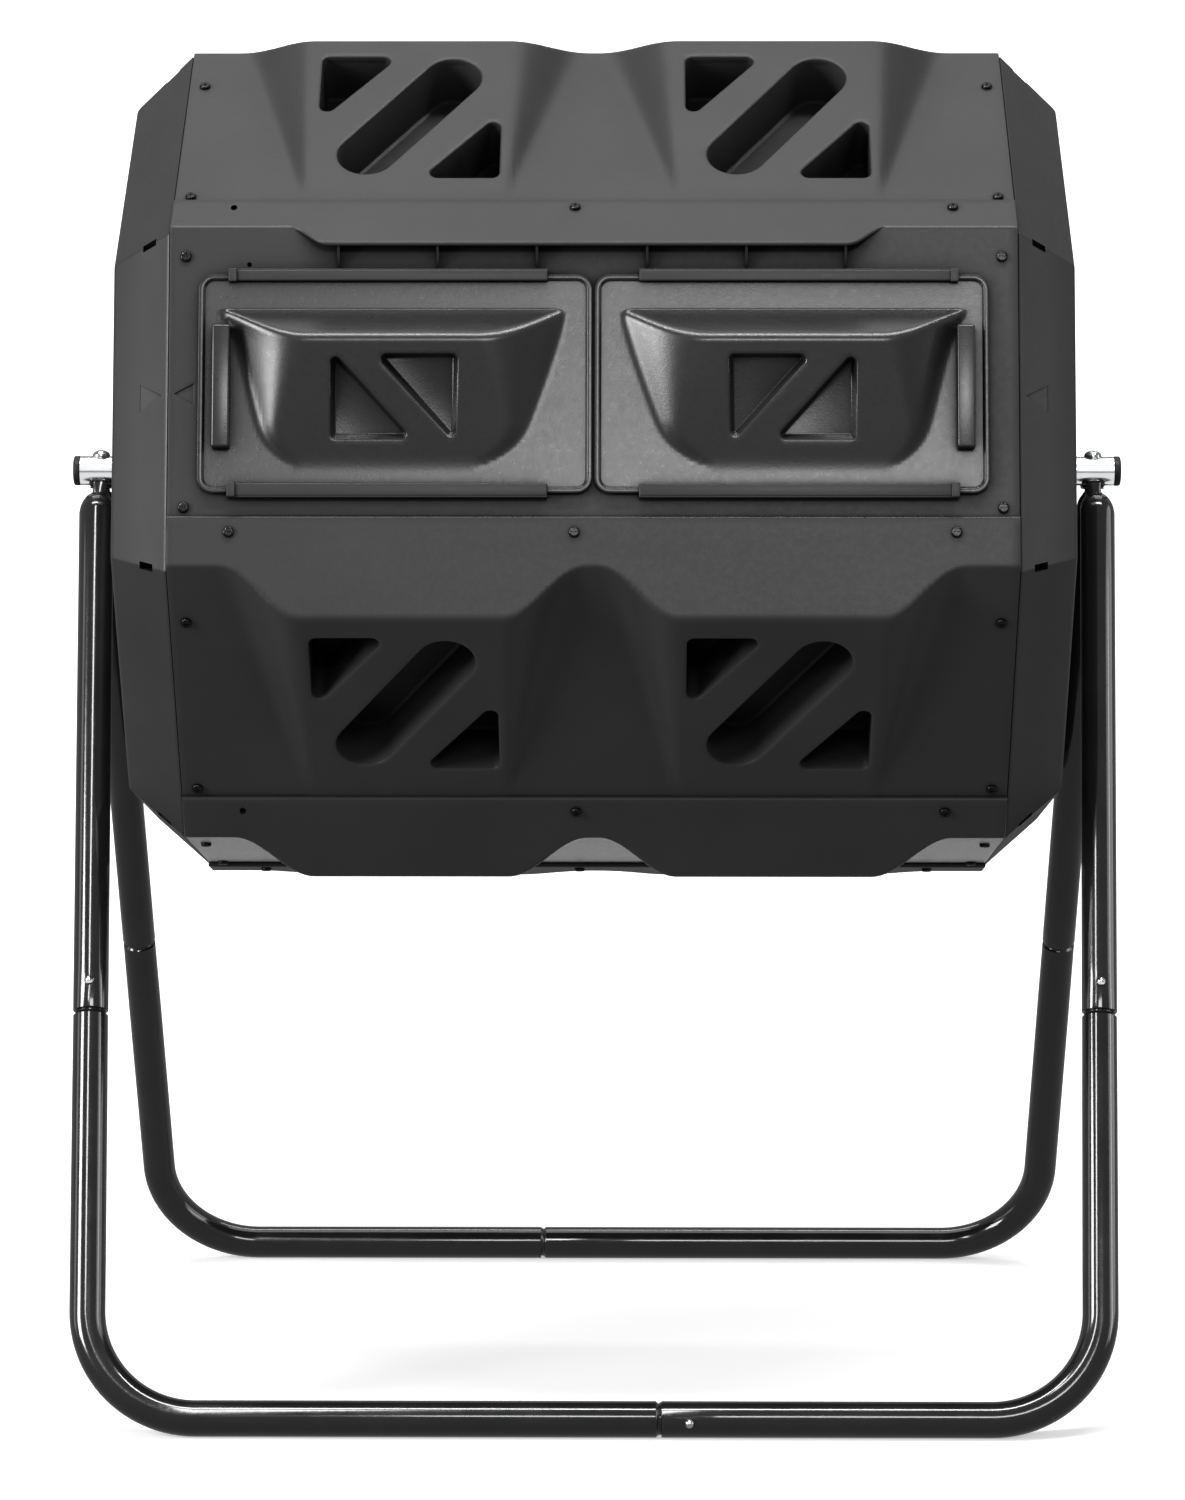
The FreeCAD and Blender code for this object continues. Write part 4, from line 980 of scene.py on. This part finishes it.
class Look:
    """Node material in the making; its methods add nodes and give their outputs."""

    def __init__(self, name):
        self.material = bpy.data.materials.new(name)
        self.material.use_nodes = True
        self.nodes = self.material.node_tree.nodes
        self.links = self.material.node_tree.links
        self.shader = self.nodes["Principled BSDF"]

    def drive(self, output, socket):
        self.links.new(output, self.shader.inputs[socket])

    def coords(self, scale=(1.0, 1.0, 1.0)):
        """Object coordinates, stretched."""
        texture = self.nodes.new("ShaderNodeTexCoord")
        mapping = fill(self.nodes.new("ShaderNodeMapping"), {"Scale": scale})
        self.links.new(texture.outputs["Object"], mapping.inputs["Vector"])
        return mapping.outputs["Vector"]

    def noise(self, vector, scale, detail=3.0, rough=0.6):
        node = fill(self.nodes.new("ShaderNodeTexNoise"),
                    {"Scale": scale, "Detail": detail, "Roughness": rough})
        self.links.new(vector, node.inputs["Vector"])
        return node.outputs["Fac"]

    def remap(self, value, low, high, to_low, to_high):
        node = fill(self.nodes.new("ShaderNodeMapRange"),
                    {"From Min": low, "From Max": high, "To Min": to_low, "To Max": to_high})
        self.links.new(value, node.inputs["Value"])
        return node.outputs["Result"]

    def between(self, value, dark, light):
        """Colour between two, by a noise value."""
        mix = self.nodes.new("ShaderNodeMix")
        mix.data_type = "RGBA"
        self.links.new(self.remap(value, 0.3, 0.7, 0.0, 1.0), mix.inputs["Factor"])
        return fill(mix, {"A": (*dark, 1.0), "B": (*light, 1.0)}).outputs["Result"]

    def bump(self, value, strength, distance, under=None):
        node = fill(self.nodes.new("ShaderNodeBump"), {"Strength": strength, "Distance": distance})
        self.links.new(value, node.inputs["Height"])
        if under is not None:
            self.links.new(under, node.inputs["Normal"])
        return node.outputs["Normal"]


def grey(level, blue):
    return (level, level, blue)


def moulded_plastic(name, dark, light, rough, specular, grain=900.0):
    """Charcoal moulded plastic: fine leather grain, slow mottling and flow marks, with painted shade in
    crevices: ambient occlusion darkens the base colour and the specular there.
    """
    look = Look(name)
    where = look.coords()
    fine = look.noise(where, grain, 2.0)
    medium = look.noise(where, grain * 0.28)
    broad = look.noise(where, 9.0, 4.0)
    flow = look.noise(look.coords((3.0, 26.0, 26.0)), 2.0, 4.0, 0.65)
    # painted shade: ambient occlusion darkens the base colour and lowers the specular in crevices, recesses,
    # under the hood and between parts
    painted_shade = fill(look.nodes.new("ShaderNodeAmbientOcclusion"), {"Distance": 0.035})
    painted_shade.samples = 8
    look.links.new(look.between(broad, dark, light), painted_shade.inputs["Color"])
    look.drive(painted_shade.outputs["Color"], "Base Color")
    look.drive(look.remap(painted_shade.outputs["AO"], 0.45, 0.95, 0.06, specular), "Specular IOR Level")
    gloss = look.nodes.new("ShaderNodeMath")
    gloss.operation = "MULTIPLY"
    look.links.new(look.remap(flow, 0.25, 0.75, 0.97, 1.03), gloss.inputs[0])
    look.links.new(look.remap(medium, 0.3, 0.7, *rough), gloss.inputs[1])
    look.drive(gloss.outputs[0], "Roughness")
    look.drive(look.bump(medium, 0.08, 0.0004, look.bump(fine, 0.22, 0.00022)), "Normal")
    return look.material


def gloss_paint(name):
    """Black gloss coat on steel tube: slight orange peel, faint handling haze."""
    look = Look(name)
    peel = look.noise(look.coords(), 260.0, 2.0, 0.5)
    haze = look.noise(look.coords(), 30.0, 5.0, 0.62)
    look.drive(look.between(haze, grey(0.0055, 0.006), grey(0.009, 0.0095)), "Base Color")
    look.drive(look.remap(haze, 0.3, 0.75, 0.10, 0.19), "Roughness")
    look.drive(look.bump(peel, 0.10, 0.0004), "Normal")
    fill(look.shader, {"Coat Weight": 0.5, "Coat Roughness": 0.06})
    return look.material


def bright_metal(name, base, rough, stretch=(30.0, 30.0, 30.0)):
    """Bright plated metal with fine drawing lines and a faint cloud."""
    look = Look(name)
    lines = look.noise(look.coords(stretch), 14.0, 4.0)
    cloud = look.noise(look.coords(), 60.0, 4.0)
    look.drive(look.between(cloud, tuple(c * 0.93 for c in base), base), "Base Color")
    look.drive(look.remap(lines, 0.25, 0.75, rough * 0.75, rough * 1.3), "Roughness")
    look.drive(look.bump(lines, 0.08, 0.0003), "Normal")
    fill(look.shader, {"Metallic": 1.0})
    return look.material


def black_metal(name):
    """Black-oxide screw: dark, half gloss, a little uneven."""
    look = Look(name)
    grit = look.noise(look.coords(), 800.0)
    look.drive(look.between(grit, grey(0.014, 0.0145), grey(0.028, 0.029)), "Base Color")
    look.drive(look.remap(grit, 0.3, 0.7, 0.16, 0.26), "Roughness")
    look.drive(look.bump(grit, 0.25, 0.0003), "Normal")
    fill(look.shader, {"Metallic": 0.9})
    return look.material


materials = {
    "panel_plastic": moulded_plastic("panel_plastic_look", grey(0.026, 0.0264), grey(0.032, 0.0324),
                                     rough=(0.38, 0.44), specular=0.32),
    "door_plastic": moulded_plastic("door_plastic_look", grey(0.013, 0.0133), grey(0.018, 0.0183),
                                    rough=(0.27, 0.31), specular=0.6),
    "end_plastic": moulded_plastic("end_plastic_look", grey(0.020, 0.0204), grey(0.026, 0.0264),
                                   rough=(0.36, 0.42), specular=0.42),
    "plug_plastic": moulded_plastic("plug_plastic_look", grey(0.012, 0.013), grey(0.018, 0.019),
                                    rough=(0.4, 0.5), specular=0.32),
    "tube_paint": gloss_paint("tube_paint_look"),
    "axle_zinc": bright_metal("axle_zinc_look", (0.74, 0.75, 0.77), 0.17, stretch=(2.0, 60.0, 60.0)),
    "bolt_zinc": bright_metal("bolt_zinc_look", (0.72, 0.73, 0.75), 0.14),
    "button_steel": bright_metal("button_steel_look", (0.72, 0.72, 0.73), 0.16),
    "spring_steel": bright_metal("spring_steel_look", (0.40, 0.41, 0.43), 0.3),
    "nut_steel": bright_metal("nut_steel_look", (0.45, 0.45, 0.47), 0.32),
    "screw_black": black_metal("screw_black_look"),
}


# ---- build

slots = {s["node"]: s["material_slot"] for s in frame["record"]["subparts"]}


def look_of(thing, slot):
    thing.data.materials.clear()
    thing.data.materials.append(materials[slot])


def finish_piece(thing, body, node):
    """Rides on its body, stands for its CAD node and takes the node's look."""
    look_of(thing, slots[node])
    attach(thing, body)
    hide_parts(node)
    return thing


for node, thing in frame["nodes"].items():
    look_of(thing, slots[node])

LOWEST_PANEL = 2
EMPTY_HOLES = [screw_hole(0)]

panels = {}
for facet in range(1, 8):
    node = "wall_panel_%d" % facet
    through = EMPTY_HOLES if facet == LOWEST_PANEL else []
    panels[facet] = finish_piece(wall_panel_mesh(node + "_body", facet, through), "drum", node)
finish_piece(door_panel_mesh(EMPTY_HOLES), "drum", "door_panel")

doors, painted, bright = [], [], []
for sx, side in ((-1, "left"), (1, "right")):
    doors.append(finish_piece(door_mesh("door_" + side, sx), side + "_door", "door_" + side))
    finish_piece(end_cap_mesh("end_cap_%s_body" % side, sx), "drum", "end_cap_" + side)
    finish_piece(axle_cap_mesh("axle_cap_%s_body" % side, sx), "stand", "axle_cap_" + side)

for sy, row in ((-1, "front"), (1, "rear")):
    for sx, side in ((-1, "left"), (1, "right")):
        node = "upper_leg_%s_%s" % (row, side)
        painted.append(finish_piece(upper_leg_mesh(node, sx, sy), "stand", node))
        node = "lower_leg_%s_%s" % (row, side)
        painted.append(finish_piece(lower_leg_mesh(node, sx, sy, sx * sy > 0), "stand", node))
        joint = "leg_%s_%s" % (row, side)
        button = button_mesh("snap_button_%s_body" % joint, *button_site(sx, sy))
        bright.append(finish_piece(button, "button_" + joint, "snap_button_" + joint))
    joint = "bar_" + row
    button = button_mesh("snap_button_%s_body" % joint, *bar_site(sy))
    bright.append(finish_piece(button, "button_" + joint, "snap_button_" + joint))

bright.append(finish_piece(axle_tube_mesh("axle_tube_body"), "stand", "axle_tube"))
bright.append(finish_piece(axle_bolts_mesh("axle_bolts_body"), "stand", "axle_bolts"))

# ---- stage, in metres

FLOOR_FRONT_Y = -9.0
FLOOR_BACK_Y = 4.0
FLOOR_HALF_X = 9.0
WALL_TOP_Z = 9.0
COVE_R = 2.5
COVE_STEPS = 16


def backdrop():
    """Pale floor that curves up into a wall."""
    line = [(FLOOR_FRONT_Y, 0.0), (FLOOR_BACK_Y, 0.0)]
    for i in range(1, COVE_STEPS + 1):
        turn = math.pi / 2 * i / COVE_STEPS
        line.append((FLOOR_BACK_Y + COVE_R * math.sin(turn), COVE_R - COVE_R * math.cos(turn)))
    line.append((FLOOR_BACK_Y + COVE_R, WALL_TOP_Z))
    n = len(line)
    mesh = bpy.data.meshes.new("backdrop")
    mesh.from_pydata([(x, y, z) for x in (-FLOOR_HALF_X, FLOOR_HALF_X) for y, z in line], [],
                     [(i, i + 1, n + i + 1, n + i) for i in range(n - 1)])
    look = Look("backdrop_look")
    grain = look.noise(look.coords(), 3.0, 3.0, 0.55)
    look.drive(look.between(grain, grey(0.84, 0.84), grey(0.86, 0.86)), "Base Color")
    fill(look.shader, {"Roughness": 0.85, "Emission Color": (1.0, 1.0, 1.0, 1.0), "Emission Strength": 0.45})
    mesh.materials.append(look.material)
    thing = put("backdrop", mesh)
    thing.visible_diffuse = False
    thing.visible_glossy = False
    return thing


def aim(thing, way):
    """Points a light or the camera along a way, and puts it in the scene."""
    thing.rotation_euler = Vector(way).to_track_quat("-Z", "Y").to_euler()
    bpy.context.scene.collection.objects.link(thing)


def area_light(name, place, target, size, power, things=None):
    """Rectangular light; with things given it falls on those pieces only."""
    light = bpy.data.lights.new(name, "AREA")
    light.shape = "RECTANGLE"
    light.size, light.size_y = size
    light.energy = power
    thing = bpy.data.objects.new(name, light)
    thing.location = place
    aim(thing, Vector(target) - Vector(place))
    if things is not None:
        group = bpy.data.collections.new(name + "_group")
        for piece in things:
            group.objects.link(piece)
        thing.light_linking.receiver_collection = group
        thing.visible_camera = False


backdrop()
area_light("over", (0.0, 0.75, 3.1), (0.0, 0.1, 0.85), (2.6, 0.9), 13.0)
area_light("ridge", (0.0, -0.76, 2.9), (0.0, -0.25, 0.7), (2.6, 0.22), 66.0)
area_light("back", (0.0, 2.6, 4.4), (0.0, 6.5, 1.4), (5.0, 1.2), 330.0)
area_light("key", (-2.7, -1.75, 1.35), (0.0, -0.2, 0.65), (0.8, 1.5), 84.0)
area_light("front", (0.35, -3.4, 1.95), (0.0, 0.0, 0.7), (1.3, 0.45), 23.0)
area_light("side_left", (-2.6, -0.3, 0.9), (0.0, 0.0, 0.6), (0.5, 1.6), 4.0)
area_light("side_right", (2.6, -0.6, 0.9), (0.0, 0.0, 0.6), (0.25, 1.6), 6.0)
area_light("metal_low", (0.0, -1.3, 0.02), (0.0, -1.3, 1.0), (2.2, 3.4), 18.0, bright)
area_light("metal_front", (0.0, -4.2, 2.6), (0.0, 0.0, 2.6), (3.0, 3.8), 34.0, bright)
area_light("metal_top", (0.0, -1.4, 3.3), (0.0, -1.4, 0.0), (3.0, 4.6), 38.0, bright)
area_light("strip", (-0.45, -1.3, 1.55), (0.0, -0.15, 0.3), (0.2, 1.2), 14.0, painted)
area_light("wing", (2.2, -0.3, 1.0), (0.0, -0.1, 0.5), (1.6, 1.6), 16.0, painted)
area_light("glint", (-1.7, -2.1, 2.9), (0.0, -0.2, 0.7), (0.3, 0.3), 90.0, [frame["nodes"]["panel_screws"]])
area_light("door_low", (0.2, -3.2, 1.6), (0.0, -0.2, 0.65), (1.3, 0.2), 10.0, doors)
area_light("floor_glow", (0.0, 1.1, 0.02), (0.0, 1.1, 1.0), (2.4, 1.4), 10.0, [panels[LOWEST_PANEL]])

AMBIENT = 0.28
SEEN_BY_CAMERA = 1.0

world = bpy.data.worlds.new("studio")
bpy.context.scene.world = world
world.use_nodes = True
nodes, links = world.node_tree.nodes, world.node_tree.links
ambient = nodes["Background"]
seen = nodes.new("ShaderNodeBackground")
for background, strength in ((ambient, AMBIENT), (seen, SEEN_BY_CAMERA)):
    fill(background, {"Color": (1.0, 1.0, 1.0, 1.0), "Strength": strength})
path = nodes.new("ShaderNodeLightPath")
which = nodes.new("ShaderNodeMixShader")
links.new(path.outputs["Is Camera Ray"], which.inputs["Fac"])
links.new(ambient.outputs["Background"], which.inputs[1])
links.new(seen.outputs["Background"], which.inputs[2])
links.new(which.outputs["Shader"], nodes["World Output"].inputs["Surface"])

camera_data = bpy.data.cameras.new("camera")
camera_data.lens = 120.6
camera_data.sensor_width = 36.0
camera = bpy.data.objects.new("camera", camera_data)
camera.location = (0.028, -3.448, 0.793)
aim(camera, (-0.0089, 0.99402, -0.10888))
bpy.context.scene.camera = camera
bpy.context.scene.view_settings.view_transform = "Standard"
